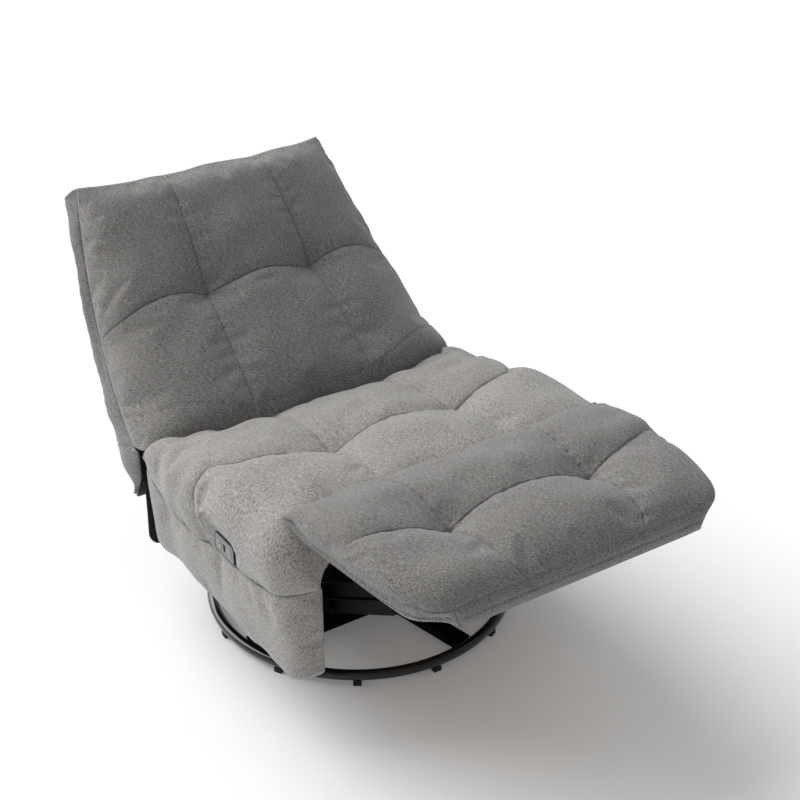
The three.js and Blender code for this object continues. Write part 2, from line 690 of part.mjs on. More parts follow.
const SEAT_TOP_SHARES = [
  [0, 0.62], [0.01, 0.73], [0.035, 0.86], [0.075, 0.945], [0.136, 1], [0.263, 1.01], [0.414, 0.96],
  [0.551, 0.84], [0.72, 0.67], [0.805, 0.55], [0.8695, 0.42], [0.907, 0.375], [0.949, 0.32],
  [0.983, 0.2], [1, 0.06],
];
const SEAT_STATION_SHARES = [
  0, 0.012, 0.04, 0.085, 0.14, 0.21, 0.28, 0.34, 0.385, 0.414, 0.443, 0.5, 0.58, 0.66, 0.74, 0.82,
  0.88, 0.93, 0.97, 1,
];
const SEAT_CROSS_SHARES = [0.13, 0.26, 0.33, 0.364, 0.41, 0.52, 0.66, 0.79, 0.88, 0.945];
const SEAT_SIDE_SHARES = [0.62, 0.42, 0.21, 0];

const cornerWidth = (halfWidth, y, frontY) => {
  const into = Math.max(0, frontY + CORNER_RADIUS - y);
  return halfWidth - CORNER_RADIUS + Math.sqrt(Math.max(0, CORNER_RADIUS ** 2 - into ** 2));
};

const superRoot = (value, power) => Math.max(0, 1 - Math.abs(value) ** power) ** (1 / power);

const seatDent = (x, y, upShare) => {
  const rowY = SEAT_ROW_Y + SEAT_ROW_SIDE_SHIFT * (1 - upShare);
  const column = vee(Math.abs(x) - SEAT_COLUMN_X, SEAM_SOFTNESS);
  const row = vee(y - rowY, SEAM_SOFTNESS) * Math.sqrt(upShare);
  const tuft = vee(Math.hypot(Math.abs(x) - SEAT_COLUMN_X, y - rowY), TUFT_SOFTNESS);
  return SEAM_DEPTH * Math.max(column * upShare, row) + TUFT_DEPTH * tuft;
};

const seatSkinPoint = (x, y, upShare, halfWidth) => {
  const slope = Math.abs(x / halfWidth) ** (SEAT_SHOULDER_POWER - 1);
  const rise = upShare ** (SEAT_SHOULDER_POWER - 1);
  const length = Math.hypot(slope, rise);
  const dent = seatDent(x, y, upShare);
  return [Math.sign(x) * (slope / length) * dent, (rise / length) * dent];
};

const makeSeatCushion = () => {
  const depth = SEAT_REAR_Y - SEAT_FRONT_Y;
  const slabDepth = SEAT_SLAB_REAR_Y - SEAT_FRONT_Y;
  const springTop = 2 * (SPRING_WIRE_RADIUS + GAP);
  const yAt = (x, share) => {
    const wing = smoothShare(Math.abs(x), SLAB_EDGE_X, SLAB_EDGE_X + WRAP_RAMP);
    return SEAT_FRONT_Y + share * THREE.MathUtils.lerp(slabDepth, depth, wing);
  };
  const undersideAt = (y) => {
    const nose = SEAT_FRONT_Y + NOSE_LENGTH;
    const drop = NOSE_DROP * (Math.max(0, nose - y) / NOSE_LENGTH) ** 2;
    return railTopAt(Math.max(y, nose)) + springTop - drop;
  };
  const rings = SEAT_STATION_SHARES.map((share) => {
    const ring = [];
    const skin = (crossShare, upShare) => {
      const flatY = yAt(crossShare * SEAT_HALF_WIDTH, share);
      const halfWidth = cornerWidth(SEAT_HALF_WIDTH, flatY, SEAT_FRONT_Y);
      const x = crossShare * halfWidth;
      const height = SEAT_CROWN * interpolate(SEAT_TOP_SHARES, (flatY - SEAT_FRONT_Y) / depth);
      const fade = smoothShare(share, 0, 0.04) * (1 - smoothShare(share, 0.95, 1));
      const [inX, inZ] = seatSkinPoint(x, flatY, upShare, halfWidth);
      const z = SEAT_SEAM_Z + GAP + height * upShare - inZ * fade;
      ring.push(new THREE.Vector3(x - inX * fade, flatY, z));
    };
    const side = (direction) => SEAT_SIDE_SHARES.map((up) => [direction * superRoot(up, SEAT_SHOULDER_POWER), up]);
    const top = (direction) => SEAT_CROSS_SHARES.map((cross) =>
      [direction * cross, superRoot(cross, SEAT_SHOULDER_POWER)]);
    const sequence = [
      ...side(-1).reverse(), ...top(-1).reverse(), [0, 1], ...top(1), ...side(1),
    ];
    for (const [cross, up] of sequence) skin(cross, up);
    const wingY = yAt(SEAT_HALF_WIDTH, share);
    const slabY = yAt(0, share);
    const wrapX = Math.min(WRAP_INNER_X, cornerWidth(SEAT_HALF_WIDTH, wingY, SEAT_FRONT_Y) - 2 * LAYER_GAP);
    const wingTop = SEAT_SEAM_Z + SEAT_CROWN * interpolate(SEAT_TOP_SHARES, (wingY - SEAT_FRONT_Y) / depth);
    const bottom = SEAT_SEAM_Z + GAP;
    const wingRoof = Math.max(bottom + LAYER_GAP, Math.min(undersideAt(wingY) - WRAP_STEP, wingTop - LAYER_GAP));
    ring.push(new THREE.Vector3(wrapX, wingY, bottom));
    ring.push(new THREE.Vector3(wrapX, wingY, wingRoof));
    ring.push(new THREE.Vector3(SLAB_EDGE_X, slabY, undersideAt(slabY)));
    ring.push(new THREE.Vector3(-SLAB_EDGE_X, slabY, undersideAt(slabY)));
    ring.push(new THREE.Vector3(-wrapX, wingY, wingRoof));
    ring.push(new THREE.Vector3(-wrapX, wingY, bottom));
    return ring;
  });
  add('seat_cushion', loft(rings, (point) => new THREE.Vector2(point.x, point.z)), seatFabric);
};

// Side panels, under the side seam, with a return round the front corner

const PANEL_LEVEL_SHARES = [0, 0.06, 0.3, 0.6, 0.85, 1];
const PANEL_LEAN_SHARES = [1, 0.72, 0.45, 0.16, 0, 0];

const makeSidePanels = () => {
  const height = SEAT_SEAM_Z - GAP - PANEL_BOTTOM_Z;
  const rings = PANEL_LEVEL_SHARES.map((level, k) => {
    const lean = PANEL_LEAN * PANEL_LEAN_SHARES[k];
    const shrink = k === 0 ? PANEL_BOTTOM_EDGE : 0;
    const outer = SEAT_HALF_WIDTH - lean - shrink;
    const front = SEAT_FRONT_Y + shrink;
    const rear = SEAT_REAR_Y - shrink;
    const corner = Math.min(CORNER_RADIUS, outer - PANEL_INNER_X - GAP);
    const points = [[PANEL_INNER_X, rear]];
    for (let i = 0; i <= 2; i += 1) {
      const angle = (Math.PI / 2) * (1 - i / 2);
      points.push([
        outer - PANEL_REAR_CORNER + PANEL_REAR_CORNER * Math.cos(angle),
        rear - PANEL_REAR_CORNER + PANEL_REAR_CORNER * Math.sin(angle),
      ]);
    }
    points.push([outer, 0]);
    for (let i = 0; i <= CURVE_STEPS; i += 1) {
      const angle = (-Math.PI / 2) * (i / CURVE_STEPS);
      points.push([
        outer - corner + corner * Math.cos(angle),
        front + CORNER_RADIUS + CORNER_RADIUS * Math.sin(angle),
      ]);
    }
    points.push([PANEL_INNER_X, front], [PANEL_INNER_X, 0]);
    return points.map(([x, y]) => {
      const into = THREE.MathUtils.clamp((front + PANEL_CORNER_RISE_LENGTH - y) / PANEL_CORNER_RISE_LENGTH, 0, 1);
      const z = PANEL_BOTTOM_Z + height * level + PANEL_CORNER_RISE * into ** 2 * (1 - level);
      return new THREE.Vector3(x, y, z);
    });
  });
  addPair('side_panel', loft(rings, (point) => new THREE.Vector2(point.x, point.y)), seatFabric);
};

const makeLining = () => {
  const shape = roundedRectangle(-LINING_HALF_WIDTH, LINING_HALF_WIDTH, LINING_BOTTOM_Z, LINING_TOP_Z, LINING_CORNER);
  const board = new THREE.ExtrudeGeometry(shape, {
    depth: LINING_THICKNESS, bevelEnabled: false, curveSegments: CURVE_STEPS,
  });
  board.rotateX(Math.PI / 2).translate(0, SEAT_REAR_Y + GAP + LINING_THICKNESS, 0);
  add('seat_rear_lining', outward(board), lining);
};

// Control plate with its two buttons and a socket, on the sitter's right

const makeControls = () => {
  const face = -SEAT_HALF_WIDTH - GAP;
  const onSide = (shape, x, thickness) => {
    const piece = new THREE.ExtrudeGeometry(shape, {
      depth: thickness, bevelEnabled: false, curveSegments: CURVE_STEPS,
    });
    piece.applyMatrix4(new THREE.Matrix4().makeBasis(Y_AXIS, Z_AXIS, X_AXIS));
    return piece.translate(x - thickness, 0, 0);
  };
  const plate = roundedRectangle(CONTROL_Y - CONTROL_LENGTH / 2, CONTROL_Y + CONTROL_LENGTH / 2,
    CONTROL_Z - CONTROL_HEIGHT / 2, CONTROL_Z + CONTROL_HEIGHT / 2, CONTROL_CORNER);
  const buttonYs = [CONTROL_Y - BUTTON_SPACING / 2, CONTROL_Y + BUTTON_SPACING / 2];
  const across = [face - CONTROL_THICKNESS - OVERRUN, face + OVERRUN, 2 * RIVET_SIDES];
  const buttonHoles = buttonYs.map((y) =>
    rodAlongX(y, CONTROL_Z, BUTTON_RADIUS + BUTTON_CLEARANCE, ...across));
  const slot = (grow) => roundedRectangle(
    CONTROL_Y - SOCKET_WIDTH / 2 - grow, CONTROL_Y + SOCKET_WIDTH / 2 + grow,
    CONTROL_Z - SOCKET_HEIGHT / 2 - grow, CONTROL_Z + SOCKET_HEIGHT / 2 + grow,
    SOCKET_WALL + grow,
  );
  const slotTool = onSide(slot(GAP), face + OVERRUN, CONTROL_THICKNESS + 2 * OVERRUN);
  add('control_plate', cut(onSide(plate, face, CONTROL_THICKNESS), slotTool, ...buttonHoles), controlGrey);

  const cavity = onSide(slot(-SOCKET_WALL), face - CONTROL_THICKNESS + SOCKET_DEPTH, SOCKET_DEPTH + OVERRUN);
  add('usb_socket', cut(onSide(slot(0), face, CONTROL_THICKNESS + GAP), cavity), blackPlastic);

  ['open', 'close'].forEach((name, k) => {
    const outerX = face - CONTROL_THICKNESS - BUTTON_PROUD;
    const cap = rodAlongX(buttonYs[k], CONTROL_Z, BUTTON_RADIUS, outerX, outerX + BUTTON_THICKNESS, 2 * RIVET_SIDES);
    add(`button_${name}`, outward(cap), controlGrey);
  });
};

// Footrest linkage. Lift and guide links swing together and the extension links stay level
// with each other, so the footrest turns about one place in the air as it opens

const along = ([y, z], angle, length) => [y + length * Math.cos(angle), z + length * Math.sin(angle)];
const guidePivot = [LIFT_PIVOT[0] + GUIDE_OFFSET[0], LIFT_PIVOT[1] + GUIDE_OFFSET[1]];
const kneePivot = along(LIFT_PIVOT, LIFT_REST_ANGLE, LIFT_LENGTH);
const tailPivot = along(guidePivot, LIFT_REST_ANGLE, LIFT_LENGTH);
const togglePivot = along(kneePivot, LIFT_REST_ANGLE, TOGGLE_SPACING);
const padPivot = along(kneePivot, EXTENSION_ANGLE, EXTENSION_LENGTH);
const padTogglePivot = along(togglePivot, EXTENSION_ANGLE, EXTENSION_LENGTH);
const leverPin = along(LIFT_PIVOT, LEVER_REST_ANGLE, LEVER_LENGTH);

const liftX = SIDE_PLATE_INNER_X - LAYER_GAP - LINK_SHEET / 2;
const extensionX = liftX - LINK_SHEET - LAYER_GAP;
const bracketX = extensionX - LINK_SHEET - LAYER_GAP;

const makeFootrestLinks = () => {
  const hole = RIVET_RADIUS + PIVOT_CLEARANCE;
  const disc = (pivot) => [...pivot, LINK_RADIUS];
  const strap = (pivots, holes, x) =>
    sheetAcrossX(belt(...pivots.map(disc)), holes.map((pivot) => [...pivot, hole]), x, LINK_SHEET);
  const plateOuter = SIDE_PLATE_OUTER_X + GAP;
  const layerOuter = (x) => x + LINK_SHEET / 2 + GAP;
  const layerInner = (x) => x - LINK_SHEET / 2 - GAP;

  addPair('lift_link', joined(
    strap([LIFT_PIVOT, togglePivot], [kneePivot, togglePivot], liftX),
    rivet(LIFT_PIVOT, liftX, plateOuter, true),
  ), blackSteel);
  addPair('guide_link', joined(
    strap([guidePivot, tailPivot], [tailPivot], liftX),
    rivet(guidePivot, liftX, plateOuter, true),
  ), blackSteel);
  addPair('extension_link', joined(
    strap([tailPivot, padPivot], [padPivot], extensionX),
    rivet(kneePivot, extensionX, layerOuter(liftX), true, SMALL_HEAD_THICKNESS),
    rivet(tailPivot, extensionX, layerOuter(liftX), true, SMALL_HEAD_THICKNESS),
  ), blackSteel);
  addPair('toggle_link', joined(
    strap([togglePivot, padTogglePivot], [padTogglePivot], extensionX),
    rivet(togglePivot, extensionX, layerOuter(liftX), true, SMALL_HEAD_THICKNESS),
  ), blackSteel);

  const tipZ = BRACKET_TOP_Z - BRACKET_TIP_RADIUS;
  const rearTip = padPivot[0] + BRACKET_REACH;
  const frontTip = padTogglePivot[0] - BRACKET_REACH;
  const sheet = sheetAcrossX(belt(
    disc(padPivot), disc(padTogglePivot),
    [rearTip, tipZ, BRACKET_TIP_RADIUS], [frontTip, tipZ, BRACKET_TIP_RADIUS],
  ), [], bracketX, LINK_SHEET);
  const flangeOuter = bracketX + LINK_SHEET / 2;
  const flange = box(flangeOuter - BRACKET_FLANGE, flangeOuter, frontTip, rearTip,
    BRACKET_TOP_Z - BRACKET_SHEET, BRACKET_TOP_Z);
  addPair('footrest_bracket', joined(
    sheet, flange,
    rivet(padPivot, bracketX, layerOuter(extensionX), true, SMALL_HEAD_THICKNESS),
    rivet(padTogglePivot, bracketX, layerOuter(extensionX), true, SMALL_HEAD_THICKNESS),
  ), blackSteel);

  const tubeEnd = layerInner(liftX);
  const lever = (x) => sheetAcrossX(belt([...LIFT_PIVOT, LINK_RADIUS + LEVER_SHEET], disc(leverPin)), [], x, LEVER_SHEET);
  const leverX = LEVER_GAP / 2 + LEVER_SHEET / 2;
  add('drive_tube', joined(
    rodAlongX(...LIFT_PIVOT, DRIVE_TUBE_RADIUS, -tubeEnd, tubeEnd, 2 * RIVET_SIDES),
    lever(-leverX), lever(leverX),
    rodAlongX(...leverPin, LEVER_PIN_RADIUS, -leverX, leverX),
  ), blackSteel);
};

// Actuator: a housing on the cross tubes and a rod whose slotted yoke takes the lever's pin

const makeActuator = () => {
  const z = cradleZ;
  const pinDrop = LEVER_LENGTH * (1 - Math.cos(LIFT_TRAVEL / 2));
  const slotRadius = LEVER_PIN_RADIUS + YOKE_CLEARANCE;
  const slotLow = z - pinDrop;
  const yoke = sheetAcrossX(belt([leverPin[0], z, YOKE_RADIUS], [leverPin[0], slotLow, YOKE_RADIUS]),
    [], 0, YOKE_THICKNESS);
  const slot = sheetAcrossX(belt([leverPin[0], z, slotRadius], [leverPin[0], slotLow, slotRadius]),
    [], 0, YOKE_THICKNESS + OVERRUN);
  const shaft = rodAlongY(0, z, ROD_RADIUS, leverPin[0] + (slotRadius + YOKE_RADIUS) / 2,
    HOUSING_FRONT_Y + ROD_ENGAGEMENT);
  add('actuator_rod', cut(joined(yoke, shaft), slot), greySteel);

  const tube = rodAlongY(0, z, HOUSING_RADIUS, HOUSING_FRONT_Y, HOUSING_REAR_Y, 2 * RIVET_SIDES);
  const can = rodAlongY(MOTOR_OFFSET, z + (MOTOR_RADIUS - HOUSING_RADIUS), MOTOR_RADIUS,
    HOUSING_REAR_Y - GEARBOX_LENGTH - MOTOR_LENGTH, HOUSING_REAR_Y - GEARBOX_LENGTH / 2, 2 * RIVET_SIDES);
  const low = z - HOUSING_RADIUS;
  const gearbox = box(-HOUSING_RADIUS, MOTOR_OFFSET + MOTOR_RADIUS,
    HOUSING_REAR_Y - GEARBOX_LENGTH, HOUSING_REAR_Y - GAP, low, low + GEARBOX_HEIGHT);
  const bore = rodAlongY(0, z, ROD_RADIUS + BORE_CLEARANCE, HOUSING_FRONT_Y - OVERRUN,
    HOUSING_FRONT_Y + HOUSING_BORE_DEPTH);
  add('actuator_motor', cut(joined(tube, can, gearbox), bore), blackPlastic);

  const bottom = crossTubeZ + CROSS_TUBE_RADIUS + GAP;
  const rear = BOX_FRONT_Y + BOX_LENGTH;
  const shape = roundedRectangle(BOX_CENTRE_X - BOX_WIDTH / 2, BOX_CENTRE_X + BOX_WIDTH / 2,
    BOX_FRONT_Y, rear, CONTROL_CORNER);
  const inletZ = bottom + BOX_HEIGHT / 2;
  const inlet = rodAlongY(BOX_CENTRE_X, inletZ, INLET_RADIUS, rear - INLET_DEPTH, rear + OVERRUN);
  const pin = rodAlongY(BOX_CENTRE_X, inletZ, INLET_PIN_RADIUS, rear - INLET_DEPTH - OVERRUN, rear - LAYER_GAP);
  add('control_box', joined(cut(flatPlate(shape, bottom, BOX_HEIGHT), inlet), pin), blackPlastic);
};

// Footrest board and pad

const PAD_STATION_SHARES = [
  0, 0.03, 0.08, 0.16, 0.26, 0.36, 0.45, 0.505, 0.535, 0.565, 0.62, 0.71, 0.8, 0.88, 0.94, 0.975, 1,
];
const PAD_EDGE_SHARES = [[0, 0.34], [0.08, 0.55], [0.3, 0.78], [0.6, 0.8], [0.9, 0.74], [1, 0.6]];
const PAD_TOP_SHARES = [[0, 0.42], [0.03, 0.62], [0.1, 0.86], [0.25, 1], [0.7, 1], [0.9, 0.93], [1, 0.68]];
const PAD_BASE_SHARES = [[0, 0.28], [0.08, 0.14], [0.18, 0], [1, 0]];
const PAD_CROSS_SHARES = [0, 0.13, 0.26, 0.36, 0.44, 0.52, 0.64, 0.78, 0.9];

const makeFootrest = () => {
  const boardZ = BRACKET_TOP_Z + GAP;
  const board = new THREE.Shape();
  const corner = BOARD_CORNER;
  board.moveTo(-BOARD_REAR_HALF_WIDTH, BOARD_REAR_Y);
  board.lineTo(-BOARD_FRONT_HALF_WIDTH, BOARD_FRONT_Y + corner);
  board.lineTo(-BOARD_FRONT_HALF_WIDTH + corner, BOARD_FRONT_Y);
  board.lineTo(BOARD_FRONT_HALF_WIDTH - corner, BOARD_FRONT_Y);
  board.lineTo(BOARD_FRONT_HALF_WIDTH, BOARD_FRONT_Y + corner);
  board.lineTo(BOARD_REAR_HALF_WIDTH, BOARD_REAR_Y);
  add('footrest_board', outward(flatPlate(board, boardZ, BOARD_THICKNESS)), timber);

  const baseZ = boardZ + BOARD_THICKNESS + GAP;
  const length = PAD_REAR_Y - PAD_FRONT_Y;
  const rowShare = (PAD_REAR_Y - PAD_ROW_Y) / length;
  const rings = PAD_STATION_SHARES.map((share) => {
    const y = PAD_REAR_Y - share * length;
    const bevel = PAD_BEVEL * smoothShare(share, 1 - PAD_BEVEL / length, 1);
    const halfWidth = THREE.MathUtils.lerp(PAD_REAR_HALF_WIDTH, PAD_FRONT_HALF_WIDTH, share) - bevel;
    const edge = PAD_CROWN * interpolate(PAD_EDGE_SHARES, share);
    const top = PAD_CROWN * interpolate(PAD_TOP_SHARES, share);
    const base = baseZ + PAD_CROWN * interpolate(PAD_BASE_SHARES, share);
    const fade = smoothShare(share, 0, 0.06) * (1 - smoothShare(share, 0.94, 1));
    const point = (cross) => {
      const x = cross * halfWidth;
      const sideways = vee(Math.abs(x) - PAD_COLUMN_X, PAD_SEAM_SOFTNESS);
      const lengthways = vee((share - rowShare) * length, PAD_SEAM_SOFTNESS);
      const tuft = vee(Math.hypot(Math.abs(x) - PAD_COLUMN_X, (share - rowShare) * length), PAD_TUFT_SOFTNESS);
      const atEdge = 1 - Math.abs(cross) ** PAD_CROWN_POWER;
      const dent = PAD_SEAM_DEPTH * Math.max(sideways, lengthways) + PAD_TUFT_DEPTH * tuft;
      const crown = superRoot(cross, PAD_CROWN_POWER);
      return new THREE.Vector3(x, y, baseZ + THREE.MathUtils.lerp(edge, top, crown) - dent * atEdge * fade);
    };
    const shares = [...PAD_CROSS_SHARES.slice(1), 1];
    const line = [...shares.map((cross) => -cross).reverse(), 0, ...shares].map(point);
    const inset = halfWidth - LAYER_GAP;
    line.push(new THREE.Vector3(inset, y, base), new THREE.Vector3(-inset, y, base));
    return line;
  });
  add('footrest_pad', loft(rings, (point) => new THREE.Vector2(point.x, point.z)), padFabric);
};

// Back. Its curves run up the middle plane as y, z, from the foot at 0 to the head at 1

const vector = ([y, z]) => new THREE.Vector2(y, z);
const shifted = (place, direction, length) => place.clone().addScaledVector(direction, length);
const backFoot = vector(BACK_FOOT);
const backHead = vector(BACK_HEAD);
const backUp = backHead.clone().sub(backFoot).normalize();
const backForward = new THREE.Vector2(-backUp.y, backUp.x);
const backHeight = backHead.distanceTo(backFoot);
const backRearFoot = vector(BACK_REAR_FOOT);
const backRearHead = vector(BACK_REAR_HEAD);
const backRearNormal = (() => {
  const up = backRearHead.clone().sub(backRearFoot).normalize();
  return new THREE.Vector2(-up.y, up.x);
})();
const MIDDLE_EDGE_SHARE = 0.4766;

const backFront = (share) => backFoot.clone().lerp(backHead, share);
const backRear = (share) => (share < 0
  ? backRearFoot.clone().lerp(vector(BACK_SKIRT_TIP), -share)
  : backRearFoot.clone().lerp(backRearHead, share));
const backEdge = (share) => {
  const foot = vector(BACK_BOTTOM_EDGE);
  if (share < 0) return foot.lerp(shifted(vector(BACK_SKIRT_TIP), backForward, SKIRT_THICKNESS), -share);
  const span = vector(BACK_TOP_EDGE).sub(foot);
  const bow = vector(BACK_MIDDLE_EDGE).sub(foot).sub(span.clone().multiplyScalar(MIDDLE_EDGE_SHARE));
  bow.divideScalar(MIDDLE_EDGE_SHARE * (1 - MIDDLE_EDGE_SHARE));
  return foot.add(span.multiplyScalar(share)).add(bow.multiplyScalar(share * (1 - share)));
};
const backHalfWidth = (share) =>
  THREE.MathUtils.lerp(BACK_BOTTOM_HALF_WIDTH, BACK_TOP_HALF_WIDTH, Math.max(0, share));
const onBack = (x, place) => new THREE.Vector3(x, place.x, place.y);

const BACK_STATION_SHARES = [
  0, 0.02, 0.05, 0.1, 0.18, 0.27, 0.35, 0.41, 0.45, 0.47, 0.49, 0.54, 0.62, 0.71, 0.8, 0.88, 0.94,
  0.975, 1,
];
const BACK_CROSS_SHARES = [0.12, 0.25, 0.34, 0.385, 0.44, 0.55, 0.68, 0.8, 0.9, 0.96, 1];
const BACK_LIP_SHARE = 0.06;

const offFront = (u, n) => shifted(shifted(backFoot, backUp, u), backForward, n);
const bracketTip = offFront(BRACKET_ARM_LENGTH, -BACK_PAD_DEPTH - GAP - BACK_BOARD_THICKNESS / 2);
const bracketDiscs = (grow) => [
  [...BACK_PIVOT, BACK_EYE_RADIUS + grow],
  [bracketTip.x, bracketTip.y, BRACKET_ARM_RADIUS + grow],
];

const makeBackCushion = () => {
  const rings = BACK_STATION_SHARES.map((share) => {
    const halfWidth = backHalfWidth(share);
    const edge = backEdge(share);
    const lipped = Math.max(0, 1 - share / BACK_LIP_SHARE) ** 2 + Math.max(0, (share - 1) / BACK_LIP_SHARE + 1) ** 2;
    const front = shifted(backFront(share), backForward, BACK_PUFF - (BACK_PUFF + BACK_LIP) * lipped);
    const rowDistance = (share - BACK_ROW_SHARE) * backHeight;
    const fade = 1 - Math.min(1, lipped);
    const point = (cross) => {
      const x = cross * halfWidth;
      const crown = superRoot(cross, BACK_CROWN_POWER);
      const sideways = vee(Math.abs(x) - BACK_COLUMN_X, BACK_SEAM_SOFTNESS);
      const tuft = vee(Math.hypot(Math.abs(x) - BACK_COLUMN_X, rowDistance), BACK_TUFT_SOFTNESS);
      const seam = Math.max(sideways, vee(rowDistance, BACK_SEAM_SOFTNESS));
      const dent = (BACK_SEAM_DEPTH * seam + BACK_TUFT_DEPTH * tuft) * crown * fade;
      return onBack(x, shifted(edge.clone().lerp(front, crown), backForward, -dent));
    };
    const ring = [...BACK_CROSS_SHARES.map((cross) => -cross).reverse(), 0, ...BACK_CROSS_SHARES].map(point);
    const wing = Math.min(BACK_WING_INNER_X, halfWidth - BACK_WING_WIDTH);
    const deepest = shifted(backFront(share), backForward, -BACK_PAD_DEPTH);
    const middle = shifted(edge, backForward, Math.max(0, deepest.clone().sub(edge).dot(backForward)));
    ring.push(onBack(wing, edge), onBack(wing, middle), onBack(-wing, middle), onBack(-wing, edge));
    return ring;
  });
  const flatten = (point) => new THREE.Vector2(point.x,
    new THREE.Vector2(point.y, point.z).dot(backForward));
  const pillow = loft(rings, flatten);
  const slotX = (liftX + SIDE_PLATE_X) / 2;
  const slot = (x) => sheetAcrossX(belt(...bracketDiscs(BRACKET_SLOT_CLEARANCE)), [], x, 2 * SLOT_HALF_WIDTH);
  add('back_cushion', cut(pillow, slot(slotX), slot(-slotX)), backFabric);
};

const COVER_SHARES = [-1, -0.5, ...BACK_STATION_SHARES];

const makeBackCover = () => {
  const flatten = (point) => new THREE.Vector2(point.x,
    new THREE.Vector2(point.y, point.z).dot(backRearNormal));
  const section = (share, inset, edgeShift, rearShift) => {
    const halfWidth = backHalfWidth(share) - inset;
    const edge = shifted(backEdge(share), backForward, edgeShift);
    const rear = shifted(backRear(share), backRearNormal, rearShift);
    return [onBack(-halfWidth, edge), onBack(-halfWidth, rear), onBack(halfWidth, rear), onBack(halfWidth, edge)];
  };
  const outer = loft(COVER_SHARES.map((share) => section(share, 0, -GAP, 0)), flatten);
  const topShell = BACK_SHELL / backHeight;
  const inner = loft(COVER_SHARES.map((share) => {
    const stretched = share === -1 ? -1 - topShell : share;
    return section(share === 1 ? 1 - topShell : stretched, BACK_SHELL, OVERRUN, BACK_SHELL);
  }), flatten);
  add('back_cover', cut(outer, inner), backFabric);
};

const makeBack = () => {
  makeBackCushion();
  makeBackCover();

  const boardFront = -BACK_PAD_DEPTH - GAP;
  const inside = liftX - LINK_SHEET / 2 - GAP;
  const width = (u) => Math.min(inside, backHalfWidth(u / backHeight) - BACK_BOARD_MARGIN);
  const top = BACK_BOARD_FOOT + BACK_BOARD_LENGTH;
  const side = Array.from({ length: BACK_BOARD_STATIONS }, (_, i) => {
    const u = THREE.MathUtils.lerp(BACK_BOARD_FOOT, top, i / (BACK_BOARD_STATIONS - 1));
    return new THREE.Vector2(width(u), u);
  });
  const otherSide = [...side].reverse().map((point) => new THREE.Vector2(-point.x, point.y));
  const shape = new THREE.Shape([...side, ...otherSide]);
  const windowLow = BACK_BOARD_FOOT + BACK_RAIL_WIDTH;
  const windowHigh = top - BACK_RAIL_WIDTH;
  const windowHalf = width(windowHigh) - BACK_SLAT_WIDTH;
  const windowCount = BACK_SLAT_COUNT + 1;
  const pitch = (2 * windowHalf + BACK_SLAT_WIDTH) / windowCount;
  const windows = Array.from({ length: windowCount }, (_, i) => {
    const left = -windowHalf + i * pitch;
    return box(left, left + pitch - BACK_SLAT_WIDTH, windowLow, windowHigh, -OVERRUN, BACK_BOARD_THICKNESS + OVERRUN);
  });
  const panel = cut(new THREE.ExtrudeGeometry(shape, { depth: BACK_BOARD_THICKNESS, bevelEnabled: false }), ...windows);
  const up = new THREE.Vector3(0, backUp.x, backUp.y);
  const backward = new THREE.Vector3(0, backForward.x, backForward.y);
  panel.applyMatrix4(new THREE.Matrix4().makeBasis(X_AXIS, up, X_AXIS.clone().cross(up)));
  const start = offFront(0, boardFront);
  const faceSide = X_AXIS.clone().cross(up).dot(backward) > 0 ? -BACK_BOARD_THICKNESS : 0;
  panel.translate(0, start.x, start.y);
  panel.translate(0, faceSide * backward.y, faceSide * backward.z);
  add('back_frame', outward(panel), timber);

  const bracketSheet = sheetAcrossX(belt(...bracketDiscs(0)), [], liftX, LINK_SHEET);
  const pivotRivet = rivet(BACK_PIVOT, liftX, SIDE_PLATE_OUTER_X + GAP, true);
  addPair('back_bracket', joined(bracketSheet, pivotRivet), blackSteel);
};

makeBase();
makeSwivel();
makeGlider();
makeGlideLinks();
makePlatform();
makeSeatFrame();
makeSeatCushion();
makeSidePanels();
makeLining();
makeControls();
makeFootrestLinks();
makeActuator();
makeFootrest();
makeBack();

// Centre the chair over its own outline on the floor
const outline = new THREE.Box3().setFromObject(chair);
chair.position.y = -(outline.min.y + outline.max.y) / 2;
console.log(`shift along y ${chair.position.y.toFixed(4)} mm`);
console.log(`size ${outline.getSize(new THREE.Vector3()).toArray().map((v) => v.toFixed(1)).join(' x ')} mm`);

export default chair;
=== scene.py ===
"""Swivel glider recliner with its footrest out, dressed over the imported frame.

The chair's own frame has the swivel axis at x = y = 0, the floor at z = 0 and the front at -y.
"""

import logging
import math
from dataclasses import dataclass, field
from enum import Enum
from typing import Callable, Sequence

import bmesh
import bpy
import numpy as np
from mathutils import Matrix, Vector


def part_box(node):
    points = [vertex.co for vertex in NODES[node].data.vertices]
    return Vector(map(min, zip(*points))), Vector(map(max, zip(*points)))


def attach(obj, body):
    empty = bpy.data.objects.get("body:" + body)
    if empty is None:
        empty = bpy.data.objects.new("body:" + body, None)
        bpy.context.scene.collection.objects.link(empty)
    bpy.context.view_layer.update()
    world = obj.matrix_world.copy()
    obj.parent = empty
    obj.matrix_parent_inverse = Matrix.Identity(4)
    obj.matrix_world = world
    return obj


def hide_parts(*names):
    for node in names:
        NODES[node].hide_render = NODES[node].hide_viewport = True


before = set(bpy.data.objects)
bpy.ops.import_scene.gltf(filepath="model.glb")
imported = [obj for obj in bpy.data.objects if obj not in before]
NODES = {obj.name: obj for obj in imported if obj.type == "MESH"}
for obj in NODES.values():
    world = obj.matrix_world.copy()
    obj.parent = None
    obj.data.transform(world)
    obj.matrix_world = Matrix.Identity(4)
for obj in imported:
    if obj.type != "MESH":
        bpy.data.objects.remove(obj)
LOG = logging.getLogger("recliner")
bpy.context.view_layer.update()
Array = np.ndarray


